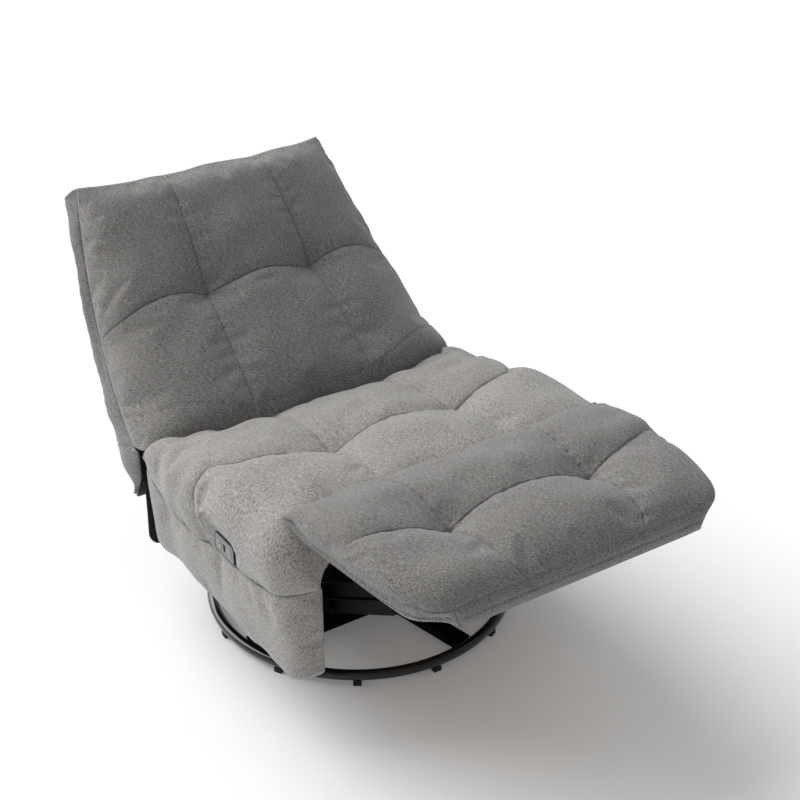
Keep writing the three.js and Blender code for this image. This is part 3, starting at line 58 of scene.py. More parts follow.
class Body(Enum):
    """The moving bodies that pieces ride on."""

    BASE = "base"
    SWIVEL = "swivel"
    PLATFORM = "platform"
    OPEN_BUTTON = "open_button"
    CLOSE_BUTTON = "close_button"
    LIFT = "lift"
    GUIDE = "guide"
    EXTENSION = "extension"
    TOGGLE = "toggle"
    FOOTREST = "footrest"
    BACK = "back"


class Slot(Enum):
    """The record's material slots."""

    SEAT = "seat_fabric"
    FOOTREST = "footrest_fabric"
    BACK = "back_fabric"
    LINING = "lining"
    BLACK_STEEL = "black_steel"
    PLATED = "plated_steel"
    TIMBER = "timber"
    RUBBER = "rubber_feet"
    PLASTIC = "black_plastic"
    CONTROL = "control_grey"


# Shader maths


class Maths:
    """A shader socket that grows Math nodes when it is used in an expression."""

    def __init__(self, graph: "Graph", socket: bpy.types.NodeSocket) -> None:
        """Wraps one output socket of a graph."""
        self.graph, self.socket = graph, socket

    def _do(self, operation: str, *values: object) -> "Maths":
        """Adds one Math node over the values and wraps its output."""
        node = self.graph.node("ShaderNodeMath", {"operation": operation}, dict(enumerate(values)))
        return Maths(self.graph, node.outputs[0])

    def __add__(self, other: object) -> "Maths":
        """Sum."""
        return self._do("ADD", self, other)

    def __radd__(self, other: object) -> "Maths":
        """Sum, reflected."""
        return self._do("ADD", other, self)

    def __sub__(self, other: object) -> "Maths":
        """Difference."""
        return self._do("SUBTRACT", self, other)

    def __rsub__(self, other: object) -> "Maths":
        """Difference, reflected."""
        return self._do("SUBTRACT", other, self)

    def __mul__(self, other: object) -> "Maths":
        """Product."""
        return self._do("MULTIPLY", self, other)

    def __rmul__(self, other: object) -> "Maths":
        """Product, reflected."""
        return self._do("MULTIPLY", other, self)

    def __pow__(self, other: object) -> "Maths":
        """Power."""
        return self._do("POWER", self, other)

    def span(self, low: float, high: float) -> "Maths":
        """Maps low to high onto 0 to 1, clamped."""
        node = self.graph.node(
            "ShaderNodeMapRange", {"clamp": True}, {"Value": self, "From Min": low, "From Max": high}
        )
        return Maths(self.graph, node.outputs[0])


class Graph:
    """The node tree of one material, with its surface shader."""

    def __init__(self, name: str) -> None:
        """Starts an empty material with a Principled shader."""
        self.material = bpy.data.materials.new(name)
        self.material.use_nodes = True
        self.tree = self.material.node_tree
        self.tree.nodes.clear()
        self.output = self.tree.nodes.new("ShaderNodeOutputMaterial")
        self.shader = self.tree.nodes.new("ShaderNodeBsdfPrincipled")
        self.tree.links.new(self.shader.outputs[0], self.output.inputs[0])

    def feed(self, socket: bpy.types.NodeSocket, value: object) -> None:
        """Sets a socket to a value, or links it where the value is an output.

        Args:
            socket: the input that is fed.
            value: a number, a tuple, a Maths or an output socket.
        """
        if isinstance(value, Maths):
            self.tree.links.new(value.socket, socket)
        elif isinstance(value, bpy.types.NodeSocket):
            self.tree.links.new(value, socket)
        else:
            socket.default_value = value

    def node(self, kind: str, settings: dict | None = None, inputs: dict | None = None) -> bpy.types.Node:
        """Adds a node, sets its settings first and then feeds its inputs.

        Args:
            kind: the node's type.
            settings: its properties by name; "stops" fills a colour ramp.
            inputs: its input sockets by name or number.

        Returns:
            The node.
        """
        node = self.tree.nodes.new(kind)
        for key, value in (settings or {}).items():
            if key == "stops":
                ramp = node.color_ramp
                while len(ramp.elements) < len(value):
                    ramp.elements.new(1.0)
                for element, (place, colour) in zip(ramp.elements, value):
                    element.position, element.color = place, colour
            else:
                setattr(node, key, value)
        for key, value in (inputs or {}).items():
            self.feed(node.inputs[key], value)
        return node

    def place(self, source: str, scale: Sequence[float], turn: Sequence[float] = (0, 0, 0)) -> bpy.types.NodeSocket:
        """Coordinates from the object or its own map, scaled.

        Args:
            source: "Object" or "UV".
            scale: scale along each axis.
            turn: rotation of the pattern.

        Returns:
            The vector socket.
        """
        coords = self.node("ShaderNodeTexCoord")
        mapping = self.node(
            "ShaderNodeMapping",
            {"vector_type": "POINT"},
            {"Vector": coords.outputs[source], "Scale": tuple(scale), "Rotation": tuple(turn)},
        )
        return mapping.outputs[0]

    def noise(self, where: bpy.types.NodeSocket, detail: float = 3, rough: float = 0.5) -> Maths:
        """Noise of one cell a unit at the given coordinates."""
        node = self.node(
            "ShaderNodeTexNoise", {}, {"Vector": where, "Scale": 1.0, "Detail": detail, "Roughness": rough}
        )
        return Maths(self, node.outputs[0])

    def blend(self, share: object, first: object, second: object) -> bpy.types.NodeSocket:
        """A colour between two colours by a share."""
        node = self.node("ShaderNodeMix", {"data_type": "RGBA"}, {})
        self.feed(node.inputs[0], share)
        self.feed(node.inputs[6], first)
        self.feed(node.inputs[7], second)
        return node.outputs[2]

    def relief(self, height: Maths, depth: float, strength: float = 1.0, below: object = None) -> bpy.types.NodeSocket:
        """A normal from a height in shares of depth, in metres."""
        inputs = {"Strength": strength, "Distance": depth, "Height": height}
        if below is not None:
            inputs["Normal"] = below
        return self.node("ShaderNodeBump", {}, inputs).outputs[0]

    def finish(self, **inputs: object) -> bpy.types.Material:
        """Feeds the surface shader's sockets by name, with spaces as underscores, and returns the material."""
        for key, value in inputs.items():
            self.feed(self.shader.inputs[key.replace("_", " ")], value)
        return self.material


def grey(level: float, warmth: float = 0.0) -> tuple[float, float, float, float]:
    """A grey colour, a little warmer or cooler."""
    return (level * (1 + warmth), level, level * (1 - warmth), 1.0)


# Finishes


@dataclass(frozen=True)
class Heather:
    """Soft heathered chenille whose short streaks run along the map's first axis."""

    name: str
    level: float = 0.2
    warmth: float = 0.04

    def make(self) -> bpy.types.Material:
        """Builds the material and returns it."""
        g = Graph(self.name)
        long = g.noise(g.place("UV", (130, 600, 1)), 2, 0.6)
        short = g.noise(g.place("UV", (290, 980, 1)), 2, 0.6)
        clump = g.noise(g.place("UV", (36, 90, 1)), 3, 0.6)
        broad = g.noise(g.place("UV", (7, 9, 1)), 2, 0.5)
        fuzz = g.noise(g.place("UV", (1500, 1900, 1)), 1, 0.5)
        streak = (long * 0.5 + short * 0.5).span(0.39, 0.61)
        share = (streak * 0.85 + clump * 0.28 + broad * 0.2 - 0.16).span(0.0, 1.0)
        dark = grey(self.level * 0.26, self.warmth)
        light = grey(self.level * 2.0, self.warmth)
        colour = g.blend(share, dark, light)
        speck = fuzz.span(0.62, 0.8)
        colour = g.blend(speck * 0.35, colour, grey(self.level * 2.2, self.warmth))
        height = streak * 0.5 + fuzz * 0.5
        normal = g.relief(height, 0.0001, 0.2)
        return g.finish(
            Base_Color=colour,
            Roughness=0.96 - 0.1 * share,
            Normal=normal,
            Sheen_Weight=0.22,
            Sheen_Roughness=0.55,
            Specular_IOR_Level=0.22,
        )


@dataclass(frozen=True)
class DustCloth:
    """Thin black lining cloth with a fine plain weave."""

    name: str = "dust_cloth"

    def make(self) -> bpy.types.Material:
        """Builds the material and returns it."""
        g = Graph(self.name)
        warp = g.noise(g.place("Object", (900, 900, 60)), 2)
        weft = g.noise(g.place("Object", (60, 900, 900)), 2)
        cloud = g.noise(g.place("Object", (9, 9, 9)), 3)
        weave = warp * 0.5 + weft * 0.5
        colour = g.blend((weave * 0.7 + cloud * 0.3).span(0.3, 0.7), grey(0.006), grey(0.022))
        return g.finish(
            Base_Color=colour, Roughness=0.8 + 0.15 * cloud, Normal=g.relief(weave, 0.0006, 0.5),
            Specular_IOR_Level=0.3,
        )


@dataclass(frozen=True)
class GlossPaint:
    """Black powder coat with a faint orange peel and dust in it."""

    name: str
    level: float = 0.006
    roughness: float = 0.2
    coat: float = 0.35
    shine: float = 0.5

    def make(self) -> bpy.types.Material:
        """Builds the material and returns it."""
        g = Graph(self.name)
        peel = g.noise(g.place("Object", (420, 420, 420)), 2)
        dust = g.noise(g.place("Object", (34, 34, 34)), 4, 0.65)
        wear = g.noise(g.place("Object", (12, 12, 12)), 3)
        colour = g.blend(dust.span(0.52, 0.8) * 0.5, grey(self.level), grey(self.level * 3 + 0.003))
        return g.finish(
            Base_Color=colour,
            Roughness=self.roughness + 0.16 * wear + 0.1 * dust.span(0.5, 0.8),
            Normal=g.relief(peel, 0.00025, 0.35),
            Coat_Weight=self.coat * (1 - 0.45 * wear),
            Coat_Roughness=0.08,
            Specular_IOR_Level=self.shine,
        )


@dataclass(frozen=True)
class PlatedSteel:
    """Zinc plated steel with fine drawn lines."""

    name: str
    scale: tuple[float, float, float] = (60, 900, 900)
    level: float = 0.5

    def make(self) -> bpy.types.Material:
        """Builds the material and returns it."""
        g = Graph(self.name)
        lines = g.noise(g.place("Object", self.scale), 3)
        spots = g.noise(g.place("Object", (70, 70, 70)), 4, 0.7)
        colour = g.blend(spots.span(0.35, 0.75), grey(self.level * 0.7, 0.02), grey(self.level, -0.01))
        return g.finish(
            Base_Color=colour, Metallic=1.0, Roughness=0.24 + 0.2 * spots + 0.08 * lines,
            Normal=g.relief(lines, 0.00015, 0.4),
        )


@dataclass(frozen=True)
class SawnBoard:
    """Pale plywood or softwood with the grain along one axis."""

    name: str
    along: tuple[float, float, float] = (5, 60, 140)

    def make(self) -> bpy.types.Material:
        """Builds the material and returns it."""
        g = Graph(self.name)
        bend = g.noise(g.place("Object", (3, 9, 9)), 2)
        where = g.place("Object", self.along)
        grain = g.noise(where, 5, 0.6)
        pores = g.noise(g.place("Object", tuple(8 * v for v in self.along)), 2)
        rings = (grain * 0.7 + bend * 0.5 + pores * 0.15).span(0.35, 0.95)
        colour = g.blend(rings, (0.52, 0.34, 0.18, 1), (0.27, 0.15, 0.065, 1))
        return g.finish(
            Base_Color=colour, Roughness=0.62 + 0.2 * pores, Normal=g.relief(rings + pores * 0.4, 0.0006, 0.45)
        )


@dataclass(frozen=True)
class Moulded:
    """Moulded rubber or plastic with a fine spark texture."""

    name: str
    level: float = 0.015
    warmth: float = 0.0
    roughness: float = 0.45
    metallic: float = 0.0

    def make(self) -> bpy.types.Material:
        """Builds the material and returns it."""
        g = Graph(self.name)
        spark = g.noise(g.place("Object", (1400, 1400, 1400)), 2)
        scuff = g.noise(g.place("Object", (90, 40, 160)), 4, 0.7)
        colour = g.blend(scuff.span(0.45, 0.85) * 0.4, grey(self.level, self.warmth), grey(self.level * 1.5 + 0.004))
        return g.finish(
            Base_Color=colour, Roughness=self.roughness + 0.15 * scuff, Metallic=self.metallic,
            Normal=g.relief(spark, 0.0002, 0.4),
        )


@dataclass(frozen=True)
class StudioFloor:
    """Pale studio floor in floor paint, with a faint even glow added as painted light that lifts the shadows cast on
    it.
    """

    name: str = "studio_floor"
    level: float = 0.96

    def make(self) -> bpy.types.Material:
        """Builds the material and returns it."""
        g = Graph(self.name)
        cloud = g.noise(g.place("Object", (1.3, 1.3, 1.3)), 4, 0.6)
        scuff = g.noise(g.place("Object", (9, 14, 9)), 5, 0.7)
        share = (cloud * 0.6 + scuff * 0.4).span(0.35, 0.75)
        colour = g.blend(share, grey(self.level * 0.95), grey(self.level))
        return g.finish(
            # The faint white glow is painted light: the floor is no lamp, and the glow lifts the chair's shadows on it
            # and lights the chair's underside a little.
            Base_Color=colour, Roughness=0.7 + 0.1 * scuff, Specular_IOR_Level=0.15, Emission_Color=grey(1.0),
            Emission_Strength=0.1,
        )


# Curves and grids


def smooth_curve(at: Array, stations: Sequence[float], values: Sequence[float]) -> Array:
    """A curve through the stations that never overshoots between them.

    Args:
        at: where it is read.
        stations: rising places.
        values: the value at each.

    Returns:
        The value at each place.
    """
    x, y = np.asarray(stations, float), np.asarray(values, float)
    step = np.diff(x)
    slope = np.diff(y) / step
    inner = np.where(slope[:-1] * slope[1:] > 0, 2 * slope[:-1] * slope[1:] / (slope[:-1] + slope[1:] + 1e-30), 0)
    tangent = np.concatenate([slope[:1], inner, slope[-1:]])
    at = np.clip(np.asarray(at, float), x[0], x[-1])
    i = np.clip(np.searchsorted(x, at, side="right") - 1, 0, len(x) - 2)
    t = (at - x[i]) / step[i]
    return (
        (2 * t**3 - 3 * t**2 + 1) * y[i]
        + (t**3 - 2 * t**2 + t) * step[i] * tangent[i]
        + (3 * t**2 - 2 * t**3) * y[i + 1]
        + (t**3 - t**2) * step[i] * tangent[i + 1]
    )


def step_up(at: Array, low: float, high: float) -> Array:
    """Rises smoothly from 0 at low to 1 at high."""
    t = np.clip((np.asarray(at, float) - low) / (high - low), 0, 1)
    return t * t * (3 - 2 * t)


def crease(distance: Array, softness: float) -> Array:
    """1 at a seam, falling away on both sides."""
    return np.exp(-np.abs(distance) / softness)


def ripple(first: Array, second: Array, size: float, seed: int, waves: int = 12) -> Array:
    """Steady unevenness of about unit height, the same on each run.

    Args:
        first: one coordinate, in metres.
        second: the other coordinate.
        size: the usual distance between bumps.
        seed: which pattern.
        waves: how many waves are added up.

    Returns:
        The height at each place.
    """
    rng = np.random.default_rng(seed)
    total = np.zeros(np.broadcast(first, second).shape)
    for _ in range(waves):
        angle, phase = rng.uniform(0, 2 * math.pi, 2)
        pace = 2 * math.pi / (size * rng.uniform(0.7, 1.5))
        total += np.sin(pace * (first * math.cos(angle) + second * math.sin(angle)) + phase)
    return total / math.sqrt(waves / 2)


@dataclass(frozen=True)
class Arch:
    """A half superellipse from one edge over the crown to the other, read by the distance along it."""

    half_width: float
    height: float
    power: float

    def table(self) -> tuple[Array, Array, Array]:
        """Distance from the crown, share across and share up, along the arch."""
        angle = np.linspace(math.pi, 0, 2401)
        radius = (np.abs(np.cos(angle)) ** self.power + np.abs(np.sin(angle)) ** self.power) ** (-1 / self.power)
        across, up = radius * np.cos(angle), radius * np.sin(angle)
        gap = np.hypot(np.diff(across) * self.half_width, np.diff(up) * self.height)
        along = np.concatenate([[0], np.cumsum(gap)])
        return along - along[-1] / 2, across, up

    def reach(self) -> float:
        """Distance from the crown to an edge."""
        return float(self.table()[0][-1])

    def read(self, distance: Array) -> tuple[Array, Array]:
        """Shares across and up at distances from the crown."""
        along, across, up = self.table()
        return np.interp(distance, along, across), np.maximum(np.interp(distance, along, up), 0)


def even_stations(breaks: Sequence[float], pitch: float) -> tuple[Array, list[int]]:
    """Even stations between breaks, with each break a station.

    Args:
        breaks: rising places that must be stations.
        pitch: the widest step.

    Returns:
        The stations and the numbers of the breaks among them.
    """
    stations, marks = [breaks[0]], [0]
    for low, high in zip(breaks, breaks[1:]):
        count = max(2, math.ceil((high - low) / pitch))
        stations.extend(np.linspace(low, high, count + 1)[1:])
        marks.append(len(stations) - 1)
    return np.array(stations), marks


def graded_stations(breaks: Sequence[float], seams: Sequence[float], fine: float, pitch: float) -> Array:
    """Stations that crowd together at the seams.

    Args:
        breaks: rising places that must be stations.
        seams: those breaks where the steps are fine.
        fine: the step at a seam.
        pitch: the widest step.

    Returns:
        The stations.
    """
    stations = [breaks[0]]
    for low, high in zip(breaks, breaks[1:]):
        near = [s for s in seams if low - 1e-9 <= s <= high + 1e-9]
        walk = [low]
        while walk[-1] < high:
            away = min([abs(walk[-1] - s) for s in near] + [abs(walk[-1] + fine - s) for s in near] or [1])
            walk.append(walk[-1] + min(pitch, fine + 0.22 * away))
        walk = np.array(walk)
        stations.extend((low + (walk - low) * (high - low) / (walk[-1] - low))[1:])
    return np.array(stations)


def spread(coarse: Array, marks: Sequence[int], fine: Array) -> Array:
    """Weights that carry values from coarse stations to fine ones, smooth but for a crease at each mark.

    Args:
        coarse: the coarse stations.
        marks: numbers of the coarse stations where the curve may crease.
        fine: the fine stations.

    Returns:
        A matrix of fine rows and coarse columns.
    """
    weights = np.zeros((len(fine), len(coarse)))
    for row, at in enumerate(fine):
        i = int(np.clip(np.searchsorted(coarse, at, side="right") - 1, 0, len(coarse) - 2))
        t = float(np.clip((at - coarse[i]) / (coarse[i + 1] - coarse[i]), 0, 1))
        share = [
            -0.5 * t**3 + t**2 - 0.5 * t,
            1.5 * t**3 - 2.5 * t**2 + 1,
            -1.5 * t**3 + 2 * t**2 + 0.5 * t,
            0.5 * t**3 - 0.5 * t**2,
        ]
        low = max(m for m in marks if m <= i)
        high = min(m for m in marks if m >= i + 1)
        for k, part in enumerate(share):
            at_node = i - 1 + k
            if at_node < low:
                weights[row, low] += 2 * part
                weights[row, low + 1] -= part
            elif at_node > high:
                weights[row, high] += 2 * part
                weights[row, high - 1] -= part
            else:
                weights[row, at_node] += part
    return weights


def outward_of(points: Array) -> Array:
    """Unit normals of a grid of points, by rows and columns."""
    down = np.gradient(points, axis=0)
    over = np.gradient(points, axis=1)
    normal = np.cross(over, down)
    length = np.linalg.norm(normal, axis=2, keepdims=True)
    return normal / np.maximum(length, 1e-12)


# Meshes


@dataclass
class Patch:
    """A grid of points with the fabric map's coordinates of each."""

    points: Array
    chart: Array


def chart_of(across: Array, along: Array) -> Array:
    """Map coordinates for a grid, in metres of cloth."""
    first, second = np.meshgrid(across, along)
    return np.stack([first, second], axis=2)


def bridge(first: Array, second: Array, rows: int, chart: Array, rise: float = 0.0) -> Patch:
    """A patch that joins two lines of points.

    Args:
        first: the line it starts from.
        second: the line it ends at.
        rows: how many steps it has.
        chart: map coordinates of the first line.
        rise: how far the map runs on over the patch.

    Returns:
        The patch.
    """
    share = np.linspace(0, 1, rows + 1)[:, None, None]
    points = first[None] * (1 - share) + second[None] * share
    length = float(np.linalg.norm(second - first, axis=1).mean()) if rise == 0 else rise
    return Patch(points, chart[None] + share * np.array([0.0, length]))


def shift_y() -> float:
    """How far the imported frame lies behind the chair's own, from the middle of the floor ring."""
    low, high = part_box("base_ring")
    return (low[1] + high[1]) / 2


SHIFT = Vector((0.0, shift_y(), 0.0))


def put(name: str, points: Array, faces: Sequence[Sequence[int]] | Array, closed: bool = True) -> bpy.types.Object:
    """Makes an object from points in the chair's own frame.

    Args:
        name: the piece's name.
        points: its points, in metres.
        faces: its faces.
        closed: whether the normals are turned outwards.

    Returns:
        The object, at the origin.
    """
    mesh = bpy.data.meshes.new(name)
    mesh.from_pydata((np.asarray(points, float) + np.array(SHIFT)).tolist(), [], [list(map(int, f)) for f in faces])
    if closed:
        turn_outward(mesh)
    mesh.update()
    piece = bpy.data.objects.new(name, mesh)
    bpy.context.collection.objects.link(piece)
    return piece


def turn_outward(mesh: bpy.types.Mesh, reach: float = 2e-5) -> None:
    """Merges doubles and turns every face of a closed mesh outwards."""
    work = bmesh.new()
    work.from_mesh(mesh)
    bmesh.ops.remove_doubles(work, verts=work.verts, dist=reach)
    bmesh.ops.dissolve_degenerate(work, edges=work.edges, dist=1e-6)
    bmesh.ops.recalc_face_normals(work, faces=work.faces)
    if work.calc_volume(signed=True) < 0:
        bmesh.ops.reverse_faces(work, faces=work.faces)
    work.to_mesh(mesh)
    work.free()


def sewn(name: str, patches: Sequence[Patch], reach: float = 2e-5) -> bpy.types.Object:
    """Sews patches into one closed piece with a fabric map.

    Args:
        name: the piece's name.
        patches: grids that share their borders.
        reach: how near two points must be to be one.

    Returns:
        The object, at the origin, smooth.
    """
    points, charts, faces, offset = [], [], [], 0
    for patch in patches:
        rows, cols = patch.points.shape[:2]
        points.append(patch.points.reshape(-1, 3))
        charts.append(patch.chart.reshape(-1, 2))
        number = offset + np.arange(rows * cols).reshape(rows, cols)
        quads = np.stack([number[:-1, :-1], number[:-1, 1:], number[1:, 1:], number[1:, :-1]], axis=2)
        faces.append(quads.reshape(-1, 4))
        offset += rows * cols
    place = np.concatenate(points) + np.array(SHIFT)
    chart = np.concatenate(charts)
    quads = np.concatenate(faces)
    mesh = bpy.data.meshes.new(name)
    mesh.vertices.add(len(place))
    mesh.vertices.foreach_set("co", place.astype(np.float32).ravel())
    mesh.loops.add(quads.size)
    mesh.loops.foreach_set("vertex_index", quads.astype(np.int32).ravel())
    mesh.polygons.add(len(quads))
    mesh.polygons.foreach_set("loop_start", (np.arange(len(quads)) * 4).astype(np.int32))
    layer = mesh.uv_layers.new(name="fabric")
    layer.data.foreach_set("uv", chart[quads.ravel()].astype(np.float32).ravel())
    mesh.update(calc_edges=True)
    turn_outward(mesh, reach)
    mesh.polygons.foreach_set("use_smooth", np.ones(len(mesh.polygons), bool))
    mesh.update()
    piece = bpy.data.objects.new(name, mesh)
    bpy.context.collection.objects.link(piece)
    return piece


# Padding


@dataclass
class Padding:
    """Foam under a sewn skin: how hard it presses and how far it may lift the cloth."""

    pressure: float = 4.0
    frames: int = 20
    most: float = 0.024
    slack: float = 0.01
    bend: float = 6.0
    stretch: float = 9.0
    mass: float = 0.35

    def fill(self, points: Array, held: Array, sign: float = 1.0) -> Array:
        """Lets the padding press the cloth out from a grid that is held at its seams.

        Args:
            points: the cloth at rest, by rows and columns.
            held: 1 where a seam holds the cloth, 0 where it is free.
            sign: 1 where the grid's own normals face out, else -1.

        Returns:
            How far each point has moved.
        """
        rows, cols = points.shape[:2]
        number = np.arange(rows * cols).reshape(rows, cols)
        quads = np.stack([number[:-1, :-1], number[:-1, 1:], number[1:, 1:], number[1:, :-1]], axis=2).reshape(-1, 4)
        mesh = bpy.data.meshes.new("cloth")
        order = quads if sign > 0 else quads[:, ::-1]
        mesh.from_pydata(points.reshape(-1, 3).tolist(), [], order.tolist())
        mesh.update()
        cloth = bpy.data.objects.new("cloth", mesh)
        bpy.context.collection.objects.link(cloth)
        group = cloth.vertex_groups.new(name="seams")
        for index, weight in enumerate(held.ravel()):
            if weight > 0:
                group.add([index], float(weight), "REPLACE")
        modifier = cloth.modifiers.new("Cloth", "CLOTH")
        settings = modifier.settings
        settings.quality = 6
        settings.mass = self.mass
        settings.tension_stiffness = settings.compression_stiffness = self.stretch
        settings.shear_stiffness = self.stretch * 0.6
        settings.bending_stiffness = self.bend
        settings.tension_damping = settings.compression_damping = settings.shear_damping = 6
        settings.air_damping = 2
        settings.vertex_group_mass = "seams"
        settings.pin_stiffness = 1.0
        settings.shrink_min = -self.slack
        settings.use_pressure = True
        settings.uniform_pressure_force = self.pressure
        settings.effector_weights.gravity = 0
        modifier.collision_settings.use_collision = False
        modifier.point_cache.frame_start, modifier.point_cache.frame_end = 1, self.frames
        scene = bpy.context.scene
        for number in range(1, self.frames + 1):
            scene.frame_set(number)
        moved = cloth.evaluated_get(bpy.context.evaluated_depsgraph_get())
        place = np.empty(rows * cols * 3, np.float32)
        moved.data.vertices.foreach_get("co", place)
        shift = place.reshape(rows, cols, 3).astype(float) - points
        scene.frame_set(1)
        bpy.data.objects.remove(cloth, do_unlink=True)
        bpy.data.meshes.remove(mesh)
        length = np.linalg.norm(shift, axis=2, keepdims=True)
        LOG.info("cloth moved %.1f mm at most, %.1f mm on average", 1000 * length.max(), 1000 * length.mean())
        return shift * np.minimum(1, self.most / np.maximum(length, 1e-9))


@dataclass
class Quilt:
    """A quilted skin: its form, the seams and tufts that hold it down, and the padding that lifts it."""

    form: Callable[[Array, Array], Array]
    sink: Callable[[Array, Array, Array], Array]
    detail: Callable[[Array, Array, Array], Array]
    across: Sequence[float]
    along: Sequence[float]
    across_seams: Sequence[float] = ()
    along_seams: Sequence[float] = ()
    padding: Padding = field(default_factory=Padding)
    coarse: float = 0.0095
    fine: float = 0.0012
    pitch: float = 0.0042
    start: float = 0.006
    edge_hold: float = 1.0
    sign: float = 1.0
    dome: float = 0.0
    dome_reach: float = 0.04
    valley: float = 0.5
    tuft_span: float = 0.12
    rims: tuple[float, float, float] = (0.04, 0.04, 0.04)

    def skin(self) -> tuple[Array, Array, Array]:
        """Fills the quilt and works its fine detail.

        Returns:
            The fine grid of points, and its stations across and along.
        """
        s0, s_marks = even_stations(self.across, self.coarse)
        t0, t_marks = even_stations(self.along, self.coarse)
        s_grid, t_grid = np.meshgrid(s0, t0)
        base = self.form(s_grid, t_grid)
        seam = np.zeros(s_grid.shape)
        for s in self.across_seams:
            seam[:, np.abs(s0 - s) < 1e-6] = 1
        for t in self.along_seams:
            seam[np.abs(t0 - t) < 1e-6, :] = 1
        seam[[0, -1], :] = 1
        seam[:, [0, -1]] = self.edge_hold
        sunk = self.sink(s_grid, t_grid, base) - self.lift(s_grid, t_grid)
        rest = base - self.sign * outward_of(base) * sunk[..., None]
        shift = self.padding.fill(rest, seam, self.sign)
        s1 = graded_stations(self.across, self.across_seams, self.fine, self.pitch)
        t1 = graded_stations(self.along, self.along_seams, self.fine, self.pitch)
        over, down = spread(s0, s_marks, s1), spread(t0, t_marks, t1)
        lifted = np.einsum("ri,ijk,cj->rck", down, shift, over)
        s_fine, t_fine = np.meshgrid(s1, t1)
        base = self.form(s_fine, t_fine)
        sunk = self.sink(s_fine, t_fine, base) - self.lift(s_fine, t_fine)
        outward = self.sign * outward_of(base)
        points = base - outward * sunk[..., None] + lifted
        outward = self.sign * outward_of(points)
        return points - outward * self.detail(s_fine, t_fine, base)[..., None], s1, t1

    def lift(self, s: Array, t: Array) -> Array:
        """How far the padding already stands up between seams and borders, before the cloth is filled."""

        def full(gap: Array, reach: float = self.dome_reach) -> Array:
            """Share of the full height at a distance from a seam."""
            return 1 - np.exp(-((gap / reach) ** 1.15))

        far = np.full(np.shape(s), 9.0)
        seam_s = np.minimum.reduce([far, *(np.abs(s - at) for at in self.across_seams)])
        seam_t = np.minimum.reduce([far, *(np.abs(t - at) for at in self.along_seams)])
        rim_s = np.minimum(s - self.across[0], self.across[-1] - s)
        tuft = np.exp(-((np.hypot(seam_s, seam_t) / self.tuft_span) ** 2))
        valley = (1 - full(seam_s) * full(seam_t)) * (self.valley + (1 - self.valley) * tuft)
        low, high = np.abs(t - self.along[0]), np.abs(self.along[-1] - t)
        rim = full(np.abs(rim_s), self.rims[0]) * full(low, self.rims[1]) * full(high, self.rims[2])
        near = np.minimum.reduce([seam_s, seam_t, np.abs(rim_s), low, high])
        return self.dome * rim * (1 - valley) - self.start * (1 - np.exp(-near / 0.03))


def groove(distance: Array, depth: float = 0.0025, width: float = 0.002) -> Array:
    """The narrow sunk line of a seam, with the cloth rolled up a little on both sides."""
    return depth * np.exp(-((distance / width) ** 2)) - 0.0009 * np.exp(-(((np.abs(distance) - 0.006) / 0.004) ** 2))


def puckers(distance: Array, along: Array, size: float, height: float, reach: float, seed: int) -> Array:
    """Small gathers that run off a seam.

    Args:
        distance: distance to the seam.
        along: distance along it.
        size: the usual distance between gathers.
        height: how high they are.
        reach: how far they run.
        seed: which pattern.

    Returns:
        How far the cloth sinks.
    """
    wave = ripple(along, distance * 0.15, size, seed, 7)
    calm = 0.35 + 0.65 * step_up(ripple(along, distance * 0, size * 7, seed + 1, 5), -0.6, 1.0)
    return height * wave * calm * np.exp(-np.abs(distance) / reach)


def starred(first: Array, second: Array, count: int, height: float, reach: float, phase: float) -> Array:
    """Folds that run out from a tuft.

    Args:
        first: offset from the tuft across.
        second: offset from the tuft along.
        count: how many folds.
        height: how high they are.
        reach: how far they run.
        phase: turns the pattern.

    Returns:
        How far the cloth sinks.
    """
    radius = np.hypot(first, second)
    angle = np.arctan2(second, first)
    swirl = np.sin(count * angle + phase + 9 * radius) * 0.6 + np.sin((count + 3) * angle - 2 * phase) * 0.4
    envelope = step_up(radius, 0.004, 0.016) * np.exp(-radius / reach)
    return height * swirl * envelope


# Finishing a piece


@dataclass
class Wardrobe:
    """Every finish of the chair, made once."""

    seat: bpy.types.Material = field(default_factory=lambda: Heather("seat_heather", 0.25).make())
    # The footrest and back get darker copies of the seat's heather. The darker level is painted shade for how the light
    # falls on them; the real chair has one fabric throughout.
    footrest: bpy.types.Material = field(default_factory=lambda: Heather("footrest_heather_painted_shade", 0.16).make())
    back: bpy.types.Material = field(default_factory=lambda: Heather("back_heather_painted_shade", 0.19).make())
    dust: bpy.types.Material = field(default_factory=lambda: DustCloth().make())
    ring: bpy.types.Material = field(default_factory=lambda: GlossPaint("ring_paint", 0.003, 0.1, 0.6).make())
    steel: bpy.types.Material = field(default_factory=lambda: GlossPaint("frame_paint", 0.002, 0.55, 0.0, 0.06).make())
    plated: bpy.types.Material = field(default_factory=lambda: PlatedSteel("zinc_plate").make())
    spring: bpy.types.Material = field(default_factory=lambda: PlatedSteel("spring_wire", (300, 300, 300), 0.4).make())
    board: bpy.types.Material = field(default_factory=lambda: SawnBoard("sawn_board").make())
    back_board: bpy.types.Material = field(
        default_factory=lambda: SawnBoard("back_board_wood", (60, 12, 12)).make()
    )
    rubber: bpy.types.Material = field(default_factory=lambda: Moulded("foot_rubber", 0.012, 0, 0.75).make())
    plastic: bpy.types.Material = field(default_factory=lambda: Moulded("black_moulding", 0.014, 0, 0.42).make())
    plate: bpy.types.Material = field(default_factory=lambda: Moulded("plate_moulding", 0.21, 0.01, 0.36, 0.3).make())
    button: bpy.types.Material = field(default_factory=lambda: Moulded("button_moulding", 0.25, 0.01, 0.32, 0.3).make())


